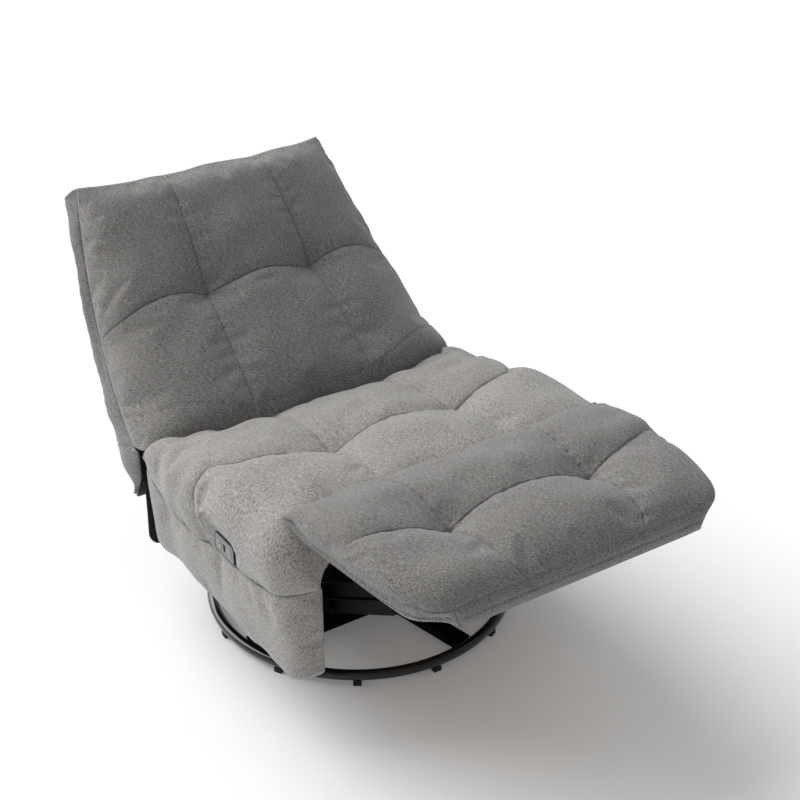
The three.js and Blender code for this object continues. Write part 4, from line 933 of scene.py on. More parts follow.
def dress(
    piece: bpy.types.Object, material: bpy.types.Material, body: Body, slot: Slot, *nodes: str, fill: float | None = None
) -> bpy.types.Object:
    """Gives a finished piece its material and its body, and hides the nodes that it stands for.

    Args:
        piece: the finished piece.
        material: its material.
        body: the body that it rides on.
        slot: the record's slot; not used.
        nodes: the nodes that it replaces.
        fill: how full a padded piece is, or None; not used.

    Returns:
        The piece.
    """
    piece.data.materials.clear()
    piece.data.materials.append(material)
    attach(piece, body.value)
    if nodes:
        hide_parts(*nodes)
    LOG.info("%s: %d faces on %s", piece.name, len(piece.data.polygons), body.value)
    return piece


def recoat(material: bpy.types.Material, *names: str) -> None:
    """Gives nodes of the frame a better material.

    Args:
        material: the material.
        names: the nodes, where a trailing * stands for any ending.
    """
    for name in names:
        found = [n for n in NODES if n == name or (name.endswith("*") and n.startswith(name[:-1]))]
        for node in found:
            data = NODES[node].data
            for index in range(max(1, len(data.materials))):
                if index < len(data.materials):
                    data.materials[index] = material
                else:
                    data.materials.append(material)


# Seat


def seam_line(y: Array) -> Array:
    """Height of the side seam along the chair: it sags in the middle and climbs at the rear corner."""
    return smooth_curve(
        y, [-0.39, -0.362, -0.332, -0.3, -0.251, -0.187, -0.087, -0.006, 0.067, 0.128, 0.167, 0.19, 0.215],
        [0.37, 0.363, 0.352, 0.339, 0.328, 0.323, 0.312, 0.3, 0.298, 0.308, 0.326, 0.345, 0.362],
    )


@dataclass
class SeatCushion:
    """The tufted seat cushion with its rounded nose."""

    half_width: float = 0.385
    front: float = -0.390
    rear: float = 0.215
    slab_rear: float = 0.150
    seam: float = 0.3353
    crown: float = 0.165
    power: float = 6.0
    column: float = 0.140
    row: float = -0.131
    corner: float = 0.062
    slab_edge: float = 0.3125
    wrap: float = 0.3185
    tuft_depth: float = 0.030
    tuft_reach: float = 0.046
    seam_depth: float = 0.004
    seam_reach: float = 0.020

    profile = (
        (0, 0.66), (0.01, 0.75), (0.035, 0.86), (0.075, 0.945), (0.136, 1), (0.263, 1.01), (0.414, 0.96),
        (0.551, 0.84), (0.72, 0.67), (0.805, 0.55), (0.8695, 0.42), (0.907, 0.375), (0.949, 0.32),
        (0.983, 0.2), (1, 0.06),
    )

    def __post_init__(self) -> None:
        """Works out the distances along the cushion."""
        self.arch = Arch(self.half_width, 0.155, self.power)
        self.edge = self.arch.reach()
        self.nose = 0.075
        share = np.linspace(0, 1, 1200)
        y = self.front + share * (self.rear - self.front)
        z = self.crown * self.rise(y)
        run = np.concatenate([[0], np.cumsum(np.hypot(np.diff(y), np.diff(z)))])
        self.share_table, self.run_table = share, run + self.nose
        self.length = float(self.run_table[-1])
        self.row_at = float(np.interp((self.row - self.front) / (self.slab_rear - self.front), share, self.run_table))

    def rise(self, y: Array) -> Array:
        """Height of the crown over the seam, as a share."""
        share = (y - self.front) / (self.rear - self.front)
        return smooth_curve(share, [a for a, _ in self.profile], [b for _, b in self.profile])

    def plan(self, cross: Array, y: Array) -> Array:
        """Distance from the middle for a share across, with the front corners rounded off."""
        into = np.maximum(0, self.front + self.corner - y)
        cut = self.corner - np.sqrt(np.maximum(0, self.corner**2 - into**2))
        return cross * self.half_width - np.sign(cross) * cut * step_up(np.abs(cross), 0.62, 1)

    def y_at(self, x: Array, share: Array) -> Array:
        """Place along the chair for a share of the depth, less deep in the middle."""
        wing = step_up(np.abs(x), self.slab_edge, self.slab_edge + 0.045)
        depth = (self.slab_rear - self.front) * (1 - wing) + (self.rear - self.front) * wing
        return self.front + share * depth

    def row_bend(self, s: Array) -> Array:
        """How far the cross seam lies behind the tufts at a distance from the middle."""
        return smooth_curve(
            np.abs(s), [0, self.column, 0.22, 0.31, 0.36, 0.4, 0.44, self.edge],
            [0, 0, 0.018, 0.048, 0.064, 0.066, 0.052, 0.016]
        ) + 0.008 * np.clip(1 - (s / self.column) ** 2, 0, 1) ** 2

    def form(self, s: Array, t: Array) -> Array:
        """The cushion's smooth form at distances across and along."""
        spread_out = 0.00028 * (self.row_at - t) / 0.01
        inside = np.clip(1 - np.abs(np.abs(s) - self.column) / 0.13, 0, 1) ** 1.5
        s = s + np.sign(s) * spread_out * inside * step_up(np.abs(s), 0, 0.08)
        cross, up = self.arch.read(s)
        share = np.interp(t, self.run_table, self.share_table)
        near = np.clip(1 - ((t - self.row_at) / 0.21) ** 2, 0, 1) ** 2
        share = share + self.row_bend(s) * near / (self.rear - self.front)
        x = self.plan(cross, self.y_at(np.abs(cross) * self.half_width, share))
        y = self.y_at(np.abs(cross) * self.half_width, share)
        seam = seam_line(y)
        fuller = 0.15 * step_up(np.abs(x), 0.2, 0.3) * np.exp(-(((y - 0.165) / 0.065) ** 2))
        z = seam + (self.seam + self.crown * (self.rise(y) + fuller) - seam) * up
        top = np.stack([x, y, z], axis=-1)
        low = self.foot_line(s)
        drop = np.clip(1 - t / self.nose, 0, 1)[..., None]
        point = top * (1 - drop) + low * drop
        point[..., 1] -= 0.004 * np.sin(math.pi * drop[..., 0]) * (1 - step_up(np.abs(x), 0.29, 0.32))
        return point

    def foot_line(self, s: Array) -> Array:
        """The lower front edge of the nose at distances across."""
        cross, _ = self.arch.read(s)
        even = 0.5 * cross + 0.5 * s / self.edge
        x = self.plan(even, np.full(s.shape, self.front))
        y = self.front + 0.003 * (1 - step_up(np.abs(x), 0.3, 0.316)) + 0.0001
        return np.stack([x, y, self.under(x, np.zeros(s.shape))], axis=-1)

    def under(self, x: Array, share: Array) -> Array:
        """Height of the underside, over the rails in the middle and at the seam outside them."""
        slab_y = self.front + share * (self.slab_rear - self.front)
        wing_y = self.front + share * (self.rear - self.front)

        def roof(y: Array) -> Array:
            """Underside over the springs."""
            nose = self.front + 0.05
            held = np.maximum(y, nose)
            rail = 0.402 + (held + 0.285) / (0.124 + 0.285) * (0.3525 - 0.402)
            return rail + 0.0044 + 0.022 * (np.maximum(0, nose - y) / 0.05) ** 2

        wing_top = self.seam + self.crown * self.rise(wing_y)
        wing = np.maximum(self.seam + 0.0017, np.minimum(roof(wing_y) - 0.012, wing_top - 0.0017))
        share_out = np.clip((np.abs(x) - self.slab_edge) / (self.wrap - self.slab_edge), 0, 1)
        inside = roof(slab_y) * (1 - share_out) + wing * share_out
        drop = np.clip((np.abs(x) - self.wrap + 0.0005) / 0.002, 0, 1)
        return inside * (1 - drop) + seam_line(wing_y) * drop

    def sink(self, s: Array, t: Array, points: Array) -> Array:
        """How far seams and tufts pull the cloth in."""
        _, up = self.arch.read(s)
        gap_s, gap_t = np.abs(s) - self.column, t - self.row_at
        tuft = crease(np.hypot(gap_s, gap_t), self.tuft_reach)
        seam = np.maximum(crease(gap_s, self.seam_reach) * up, crease(gap_t, self.seam_reach) * (0.4 + 0.6 * up))
        calm = step_up(t, 0.01, 0.09) * (1 - step_up(t, self.length - 0.06, self.length))
        return (self.tuft_depth * tuft + self.seam_depth * seam) * calm

    def detail(self, s: Array, t: Array, points: Array) -> Array:
        """Seam lines, gathers, folds round the tufts and unevenness of the foam."""
        gap_s, gap_t = np.abs(s) - self.column, t - self.row_at
        side = np.sign(s)
        calm = step_up(t, 0.004, 0.03)
        total = np.maximum(groove(gap_s), groove(gap_t)) * calm
        total += puckers(gap_s, t + 3 * side, 0.024, 0.0007, 0.011, 3) * calm
        total += puckers(gap_t, s, 0.026, 0.0007, 0.011, 5) * calm
        total += starred(gap_s, gap_t, 5, 0.0035, 0.03, 0.7 + side)
        total += 0.0016 * ripple(s, t, 0.12, 11) * calm
        edge = self.edge - np.abs(s)
        front_return = step_up(t, self.nose, self.nose + 0.03)
        total += groove(edge, 0.0032, 0.0026) * front_return + puckers(edge, t, 0.03, 0.0007, 0.02, 8) * front_return
        total *= 1 - step_up(t, self.length - 0.03, self.length)
        crease_run = np.exp(-((t - self.row_at - 0.004) / 0.012) ** 2) * np.exp(-edge / 0.05)
        return total + 0.003 * crease_run

    @staticmethod
    def leave_room(points: Array, soft: float = 0.008) -> None:
        """Holds the nose behind the plane where the closed footrest's board stands.

        Args:
            points: the cushion's top grid, changed in place.
            soft: how far ahead of the plane the cloth starts to give way.
        """
        plane = -0.3935 - 0.036 * np.maximum(0, 0.526 - points[..., 2])
        excess = np.maximum(0, plane + soft - points[..., 1])
        eased = plane + soft * np.exp(-excess / soft)
        free = step_up(np.abs(points[..., 0]), 0.335, 0.36)
        moved = np.where(excess > 0, eased, points[..., 1])
        points[..., 1] = moved * (1 - free) + points[..., 1] * free

    def build(self, finishes: Wardrobe) -> bpy.types.Object:
        """Makes the cushion.

        Args:
            finishes: the chair's finishes.

        Returns:
            The finished piece.
        """
        e = self.edge
        quilt = Quilt(
            self.form, self.sink, self.detail, (-e, -self.column, self.column, e),
            (0, self.nose, self.row_at, self.length), (-self.column, self.column), (self.row_at,),
            Padding(most=0.02), start=0.003, dome=0.026, dome_reach=0.045, valley=0.42,
            rims=(0.04, 0.07, 0.15),
        )
        top, s, t = quilt.skin()
        Controls().press_flat(top)
        self.leave_room(top)
        share = np.interp(t, self.run_table, self.share_table)
        near = np.clip(1 - ((t - self.row_at) / 0.21) ** 2, 0, 1) ** 2
        rows = t >= self.nose - 1e-9
        cross, _ = self.arch.read(s)
        even = 0.5 * cross + 0.5 * s / e
        s_grid, _ = np.meshgrid(s, t[rows])
        cross_grid, _ = np.meshgrid(even, t[rows])
        share_grid = share[rows][:, None] + 0 * cross_grid
        bent = share_grid + self.row_bend(np.full_like(s_grid, e)) * near[rows][:, None] / (self.rear - self.front) * (
            np.abs(cross_grid)
        )
        y = self.y_at(np.abs(cross_grid) * self.half_width, bent)
        x = self.plan(cross_grid, y)
        floor = np.stack([x, y, self.under(x, bent)], axis=-1)
        top[0] = floor[0] = self.foot_line(s)
        top[:, 0, 2], top[:, -1, 2] = seam_line(top[:, 0, 1]), seam_line(top[:, -1, 1])
        floor[:, 0] = top[rows][:, 0]
        floor[:, -1] = top[rows][:, -1]
        top[: int((~rows).sum()), 0] = floor[0, 0]
        top[: int((~rows).sum()), -1] = floor[0, -1]
        patches = [
            Patch(top, chart_of(s, t)),
            Patch(floor, chart_of(s, t[rows])),
            bridge(top[-1], floor[-1], 2, chart_of(s, t[-1:])[0]),
        ]
        piece = sewn("seat_cushion_cover", patches)
        return dress(piece, finishes.seat, Body.PLATFORM, Slot.SEAT, "seat_cushion", fill=0.8)


@dataclass
class SidePanel:
    """One padded side panel, from the side seam down to the lower edge, with a return at the front."""

    side: int
    half_width: float = 0.385
    inner: float = 0.3165
    front: float = -0.390
    rear: float = 0.215
    top: float = 0.3347
    bottom: float = 0.140
    corner: float = 0.062
    rear_corner: float = 0.014
    lean: float = 0.026
    lower_edge: float = 0.012
    corner_rise: float = 0.034
    rise_length: float = 0.085
    crease_y: float = -0.108

    def outline(self, along: Array) -> tuple[Array, Array, float]:
        """The panel's plan by the distance along it, from the inner rear corner round to the inner front one.

        Args:
            along: distances.

        Returns:
            The place across, the place along the chair and the whole length.
        """
        r = self.rear_corner
        points = [(self.inner, self.rear)]
        points += [
            (self.half_width - r + r * math.cos(a), self.rear - r + r * math.sin(a))
            for a in np.linspace(math.pi / 2, 0, 9)
        ]
        c = self.corner
        points += [
            (self.half_width - c + c * math.cos(a), self.front + c + c * math.sin(a))
            for a in np.linspace(0, -math.pi / 2, 25)
        ]
        points.append((self.inner, self.front))
        points = np.array(points)
        run = np.concatenate([[0], np.cumsum(np.hypot(*np.diff(points, axis=0).T))])
        return np.interp(along, run, points[:, 0]), np.interp(along, run, points[:, 1]), float(run[-1])

    def __post_init__(self) -> None:
        """Measures the outline."""
        self.length = self.outline(np.zeros(1))[2]
        self.tall = self.top - self.bottom

    def form(self, s: Array, t: Array) -> Array:
        """The panel's outer face, s round it and t up it."""
        x, y, _ = self.outline(s)
        level = np.clip(t / self.tall, 0, 1)
        lean = self.lean * smooth_curve(level, [0, 0.06, 0.3, 0.6, 0.85, 1], [1, 0.72, 0.45, 0.16, 0, 0])
        tuck = self.lower_edge * (1 - np.sqrt(np.clip(1 - (1 - np.clip(t / self.lower_edge, 0, 1)) ** 2, 0, 1)))
        span = self.half_width - self.inner
        share = (x - self.inner) / span
        x = self.inner + share * (span - lean - tuck)
        y = y + tuck * np.where(y < 0, 1, -1) * step_up(np.abs(y + 0.0875), 0.25, 0.3025)
        into = np.clip((self.front + self.rise_length - y) / self.rise_length, 0, 1)
        z = self.bottom + level * (seam_line(y) - 0.0006 - self.bottom) + self.corner_rise * into**2 * (1 - level)
        return np.stack([self.side * x, y, z], axis=-1)

    def sink(self, s: Array, t: Array, points: Array) -> Array:
        """The soft crease that runs down from the cross seam."""
        down = step_up(t, self.tall * 0.25, self.tall)
        return 0.006 * crease(points[..., 1] - self.crease_y - 0.01 * (1 - t / self.tall), 0.02) * down

    def detail(self, s: Array, t: Array, points: Array) -> Array:
        """The seam at the top, its gathers, and slow waves in the cloth."""
        gap = self.tall - t
        back_part = step_up(self.length - s, 0.03, 0.07)
        total = groove(gap, 0.0032, 0.0026) * back_part + puckers(gap, s, 0.032, 0.001, 0.022, 21 + self.side) * back_part
        total += 0.0018 * ripple(s, t * 0.5, 0.13, 31 + self.side)
        total += puckers(t, s, 0.06, 0.0012, 0.03, 41 + self.side)
        ease = step_up(s, 0, 0.03) * step_up(self.length - s, 0, 0.03)
        return total * ease

    def build(self, finishes: Wardrobe) -> bpy.types.Object:
        """Makes the panel and returns it."""
        quilt = Quilt(
            self.form, self.sink, self.detail, (0, self.length), (0, self.tall), (), (self.tall,),
            Padding(most=0.007, pressure=2.5), pitch=0.005, start=0.003,
            sign=-float(self.side),
        )
        outer, s, t = quilt.skin()
        if self.side < 0:
            Controls().press_flat(outer)
        lower_in, upper_in = outer[0].copy(), outer[-1].copy()
        lower_in[:, 0] = upper_in[:, 0] = self.side * self.inner
        patches = [Patch(outer, chart_of(t, s).transpose(1, 0, 2)), *self.caps(outer, lower_in, upper_in)]
        node = "side_panel_right" if self.side > 0 else "side_panel_left"
        piece = sewn(f"{node}_cover", patches)
        return dress(piece, finishes.seat, Body.PLATFORM, Slot.SEAT, node, fill=0.9)

    def caps(self, outer: Array, lower: Array, upper: Array) -> list[Patch]:
        """The hidden faces that close the panel.

        Args:
            outer: the outer face's grid.
            lower: its lower edge moved to the inner wall.
            upper: its upper edge moved to the inner wall.

        Returns:
            The patches under, over and inside.
        """
        flat = np.zeros((outer.shape[1], 2))
        share = np.linspace(0, 1, outer.shape[0])[:, None, None]
        wall = lower[None] * (1 - share) + upper[None] * share
        wall[:, 0], wall[:, -1] = outer[:, 0], outer[:, -1]
        return [
            bridge(outer[0], lower, 4, flat),
            bridge(outer[-1], upper, 4, flat),
            Patch(wall, np.stack([wall[..., 2], wall[..., 1]], axis=-1)),
        ]


@dataclass
class RearLining:
    """The black cloth stretched over the board behind the seat."""

    half_width: float = 0.3835
    front: float = 0.2153
    thickness: float = 0.014
    bottom: float = 0.135
    top: float = 0.300
    corner: float = 0.030

    def build(self, finishes: Wardrobe) -> bpy.types.Object:
        """Makes the lining, soft at its edges and drawn between its staples, and returns it."""
        wide, tall = 2 * self.half_width, self.top - self.bottom
        cols, rows = 150, 42
        u, v = np.meshgrid(np.linspace(-1, 1, cols + 1), np.linspace(-1, 1, rows + 1))
        corner_x = self.corner / self.half_width
        corner_z = self.corner / (tall / 2)
        over = np.clip((np.abs(v) - (1 - corner_z)) / corner_z, 0, 1)
        x = u * self.half_width * (1 - corner_x * (1 - np.sqrt(np.clip(1 - over**2, 0, 1))))
        z = self.bottom + (v + 1) / 2 * tall
        rim = 1 - np.maximum(np.abs(u) ** 24, np.abs(v) ** 10)
        depth = self.thickness * (0.35 + 0.45 * np.clip(rim, 0, 1) ** 0.5) * (1 - 0.45 * step_up(v, -0.6, 0.2))
        draw = 0.0012 * ripple(x, z * 0.4, 0.06, 51) * (1 - 0.5 * np.abs(v)) + 0.0012 * np.cos(
            x * 2 * math.pi / 0.055
        ) * np.exp(-(1 - np.abs(v)) * 9)
        back = np.stack([x, self.front + depth + np.clip(draw, -0.002, 0.001) * np.clip(rim, 0, 1), z], axis=-1)
        face = np.stack([x, np.full_like(x, self.front), z], axis=-1)
        flat = np.stack([x, z], axis=-1)
        piece = sewn(
            "rear_lining_cloth",
            [
                Patch(back, flat), Patch(face, flat),
                bridge(back[0], face[0], 2, flat[0]), bridge(back[-1], face[-1], 2, flat[-1]),
                bridge(back[:, 0], face[:, 0], 2, flat[:, 0]), bridge(back[:, -1], face[:, -1], 2, flat[:, -1]),
            ],
        )
        LOG.info("lining %.3f by %.3f m", wide, tall)
        return dress(piece, finishes.dust, Body.PLATFORM, Slot.LINING, "seat_rear_lining", fill=1.0)


# Footrest


@dataclass
class FootrestPad:
    """The tufted footrest pad with its side strip."""

    rear: float = -0.324
    front: float = -0.748
    base: float = 0.4838
    crown: float = 0.082
    low_front_half: float = 0.262
    power: float = 4.6
    column: float = 0.155
    row: float = -0.557
    strip: float = 0.019
    tuft_depth: float = 0.034
    tuft_reach: float = 0.046
    seam_depth: float = 0.004
    seam_reach: float = 0.020

    top_shares = (
        (0, 0.36), (0.03, 0.48), (0.1, 0.68), (0.25, 0.91), (0.45, 1), (0.7, 1), (0.86, 0.96), (0.94, 0.87), (0.98, 0.75),
        (1, 0.6),
    )
    base_shares = ((0, 0.28), (0.08, 0.14), (0.18, 0), (1, 0))
    half_table = (
        (0, 0.36), (0.1, 0.356), (0.458, 0.3415), (0.8, 0.3255), (0.92, 0.313), (0.96, 0.303), (0.985, 0.291),
        (1, 0.275),
    )
    strip_shares = ((0, 0.05), (0.1, 0.2), (0.6, 0.24), (0.9, 0.4), (1, 0.55))

    def __post_init__(self) -> None:
        """Works out the distances along the pad."""
        self.arch = Arch(0.34, 0.066, self.power)
        self.edge = self.arch.reach()
        share = np.linspace(0, 1, 1200)
        y = self.rear - share * (self.rear - self.front)
        z = self.crown * self.shares(share, self.top_shares)
        run = np.concatenate([[0], np.cumsum(np.hypot(np.diff(y), np.diff(z)))])
        self.share_table, self.run_table, self.length = share, run, float(run[-1])
        self.row_at = float(np.interp((self.rear - self.row) / (self.rear - self.front), share, run))

    @staticmethod
    def shares(at: Array, table: Sequence[tuple[float, float]]) -> Array:
        """Reads a table of shares."""
        return smooth_curve(at, [a for a, _ in table], [b for _, b in table])

    def half(self, share: Array) -> Array:
        """Half the width at a share of the length, with soft front corners."""
        return smooth_curve(share, *zip(*self.half_table))

    def row_bend(self, s: Array) -> Array:
        """How far the cross seam bends back towards the seat at a distance from the middle."""
        middle = 0.008 * np.clip(1 - (s / self.column) ** 2, 0, 1) ** 2
        return middle + smooth_curve(np.abs(s), [0, self.column, 0.24, 0.32, self.edge], [0, 0, 0.016, 0.04, 0.05])

    def form(self, s: Array, t: Array) -> Array:
        """The pad's smooth top at distances across and along."""
        cross, up = self.arch.read(s)
        share = np.interp(t, self.run_table, self.share_table)
        near = np.clip(1 - ((t - self.row_at) / 0.17) ** 2, 0, 1) ** 2
        share = share - self.row_bend(s) * near / (self.rear - self.front)
        y = self.rear - share * (self.rear - self.front)
        low = self.base + self.crown * (self.shares(share, self.base_shares) + self.shares(share, self.strip_shares))
        high = self.base + self.crown * self.shares(share, self.top_shares)
        bulge = 0.009 * np.sign(cross) * np.sin(math.pi * np.clip(up, 0, 1)) * step_up(share, 0.02, 0.3) * (1 - step_up(share, 0.72, 0.95))
        return np.stack([cross * self.half(share) + bulge, y, low + (high - low) * up], axis=-1)

    def sink(self, s: Array, t: Array, points: Array) -> Array:
        """How far seams and tufts pull the cloth in."""
        _, up = self.arch.read(s)
        gap_s, gap_t = np.abs(s) - self.column, t - self.row_at
        tuft = crease(np.hypot(gap_s, gap_t), self.tuft_reach)
        seam = np.maximum(crease(gap_s, self.seam_reach), crease(gap_t, self.seam_reach) * up**3)
        calm = step_up(t, 0.0, 0.06) * (1 - step_up(t, self.length - 0.03, self.length))
        return (self.tuft_depth * tuft + self.seam_depth * seam) * calm

    def detail(self, s: Array, t: Array, points: Array) -> Array:
        """Seam lines, gathers, folds round the tufts and unevenness of the foam."""
        gap_s, gap_t = np.abs(s) - self.column, t - self.row_at
        side = np.sign(s)
        edge = self.edge - np.abs(s)
        calm = step_up(edge, 0, 0.012) * step_up(t, 0, 0.01)
        fading = 1 - step_up(np.abs(s), 0.27, 0.335)
        total = np.maximum(groove(gap_s), groove(gap_t) * fading) * calm
        total += puckers(gap_s, t + 2 * side, 0.024, 0.001, 0.012, 61) * calm
        total += puckers(gap_t, s, 0.026, 0.001, 0.012, 63) * calm * fading
        total += starred(gap_s, gap_t, 5, 0.003, 0.028, 1.9 + side)
        total += 0.0014 * ripple(s, t, 0.11, 65) * calm
        total += groove(edge - 0.007, 0.0042, 0.0026) * step_up(t, 0, 0.02)
        total += puckers(edge, t, 0.03, 0.0008, 0.016, 67) * step_up(edge, 0, 0.004)
        return total + groove(self.length - t, 0.002, 0.003)

    def build(self, finishes: Wardrobe) -> bpy.types.Object:
        """Makes the pad and returns it."""
        e = self.edge
        quilt = Quilt(
            self.form, self.sink, self.detail, (-e, -self.column, self.column, e), (0, self.row_at, self.length),
            (-self.column, self.column), (self.row_at,), Padding(most=0.016), coarse=0.009, start=0.003,
            sign=-1.0, dome=0.018, dome_reach=0.04, valley=0.35, rims=(0.04, 0.12, 0.05),
        )
        top, s, t = quilt.skin()
        share = np.interp(t, self.run_table, self.share_table)
        base = self.base + self.crown * self.shares(share, self.base_shares)
        tuck = 0.0017 + 0.004 * step_up(share, 0, 0.2)
        tuck = tuck + (self.half(share) - self.low_front_half - tuck) * step_up(share, 0.9, 0.985)
        cross, _ = self.arch.read(s)
        even = 0.4 * cross + 0.6 * s / e
        x = even[None] * (np.abs(top[:, :1, 0]) - tuck[:, None])
        y = np.repeat(top[:, :1, 1], len(s), axis=1)
        raised = 0.012 * np.exp(-(((share - 0.92) / 0.05) ** 2))[:, None] * step_up(np.abs(even), 0.8, 1)[None]
        floor = np.stack([x, y, base[:, None] + raised], axis=-1)
        chart = chart_of(s, t)
        sides = []
        for column, sign in ((0, -1), (-1, 1)):
            line, foot = top[:, column], floor[:, column]
            rows = 14
            k = np.linspace(0, 1, rows + 1)[:, None, None]
            strip = line[None] * (1 - k) + foot[None] * k
            calm = step_up(share, 0, 0.03) * (1 - step_up(share, 0.97, 1))
            hollow = 0.012 * step_up(share, 0.9, 0.985)
            fold = 0.0042 * np.exp(-(((k[..., 0] - 0.5) / 0.1) ** 2)) * step_up(share, 0.02, 0.1)
            strip[..., 0] += sign * ((0.005 - hollow) * np.sin(math.pi * k[..., 0]) - fold) * calm
            length = np.abs(line[:, 2] - foot[:, 2])
            spots = np.stack([np.repeat(chart[None, :, column, 0], rows + 1, 0) + sign * k[..., 0] * length[None],
                              np.repeat(chart[None, :, column, 1], rows + 1, 0)], axis=-1)
            strip[0], strip[-1] = line, foot
            sides.append(Patch(strip, spots))
        rows = 16
        k = np.linspace(0, 1, rows + 1)[:, None, None]
        nose = top[-1][None] * (1 - k) + floor[-1][None] * k
        bulge = np.sin(math.pi * np.clip(k[..., 0], 0, 1)) ** 0.6
        seam_at = 0.42
        inner = 1 - step_up(np.abs(s[None]) / e, 0.86, 1)
        nose[..., 1] -= (0.009 * bulge - 0.0035 * np.exp(-(((k[..., 0] - seam_at) / 0.035) ** 2))) * inner
        nose[0], nose[-1] = top[-1], floor[-1]
        tall = (top[-1][:, 2] - floor[-1][:, 2])[None, :, None]
        front_chart = chart[-1][None] + np.concatenate([0 * k * tall, k * tall], axis=2)
        rear = bridge(top[0], floor[0], 4, chart[0])
        patches = [Patch(top, chart), Patch(floor, chart), *sides, Patch(nose, front_chart), rear]
        piece = sewn("footrest_pad_cover", patches)
        return dress(piece, finishes.footrest, Body.FOOTREST, Slot.FOOTREST, "footrest_pad", fill=0.75)


# Back


@dataclass
class BackShape:
    """The lines of the back in the chair's middle plane, from the foot at 0 to the head at 1."""

    foot: tuple[float, float] = (0.145, 0.396)
    head: tuple[float, float] = (0.590, 0.794)
    low_edge: tuple[float, float] = (0.255, 0.366)
    mid_edge: tuple[float, float] = (0.462, 0.531)
    top_edge: tuple[float, float] = (0.633, 0.777)
    rear_foot: tuple[float, float] = (0.366, 0.328)
    rear_head: tuple[float, float] = (0.696, 0.718)
    skirt: tuple[float, float] = (0.255, 0.241)
    low_half: float = 0.381
    top_half: float = 0.292
    bow: float = 0.008
    puff: float = 0.022
    lip: float = 0.006
    pad_depth: float = 0.0547
    mid_share: float = 0.4766

    def __post_init__(self) -> None:
        """Works out the directions along and out of the back."""
        foot, head = np.array(self.foot), np.array(self.head)
        self.height = float(np.linalg.norm(head - foot))
        self.up = (head - foot) / self.height
        self.forward = np.array([-self.up[1], self.up[0]])
        rear = np.array(self.rear_head) - np.array(self.rear_foot)
        rear /= np.linalg.norm(rear)
        self.rear_normal = np.array([-rear[1], rear[0]])

    def half(self, share: Array) -> Array:
        """Half the width."""
        above = np.clip(share, 0, 1)
        return self.low_half + (self.top_half - self.low_half) * above + 4 * self.bow * above * (1 - above)

    @staticmethod
    def shift(share: Array) -> Array:
        """How far the worn head leans to the sitter's right."""
        return -0.005 + 0 * np.clip(share, 0, 1)

    def line(self, a: Sequence[float], b: Sequence[float], share: Array) -> Array:
        """Points on a line by share."""
        share = np.asarray(share)[..., None]
        return np.array(a) * (1 - share) + np.array(b) * share

    def edge(self, share: Array) -> Array:
        """The seam line at the side."""
        share = np.asarray(share, float)
        foot, span = np.array(self.low_edge), np.array(self.top_edge) - np.array(self.low_edge)
        bow = (np.array(self.mid_edge) - foot - span * self.mid_share) / (self.mid_share * (1 - self.mid_share))
        above = foot + span * share[..., None] + bow * (share * (1 - share))[..., None]
        y = smooth_curve(-share, [0, 0.05, 0.5, 1], [self.low_edge[0], 0.233, 0.230, self.skirt[0]])
        z = self.low_edge[1] + (self.skirt[1] + 0.005 - self.low_edge[1]) * np.clip(-share, 0, 1)
        below = np.stack([y, z], axis=-1)
        return np.where(share[..., None] < 0, below, above)

    def sag(self, cross: Array, share: Array, depth: float = 0.011) -> Array:
        """Shift that lowers the head between its corners, and its left corner a little."""
        head = np.clip(share, 0, 1) ** 3
        fall = depth * (1 - np.abs(cross) ** 4) * head**2 + 0.007 * cross * head
        return -fall[..., None] * self.up

    def behind(self, share: Array) -> Array:
        """The line of the rear face."""
        share = np.asarray(share, float)
        above = self.line(self.rear_foot, self.rear_head, share)
        below = self.line(self.rear_foot, self.skirt, -share)
        return np.where(share[..., None] < 0, below, above)


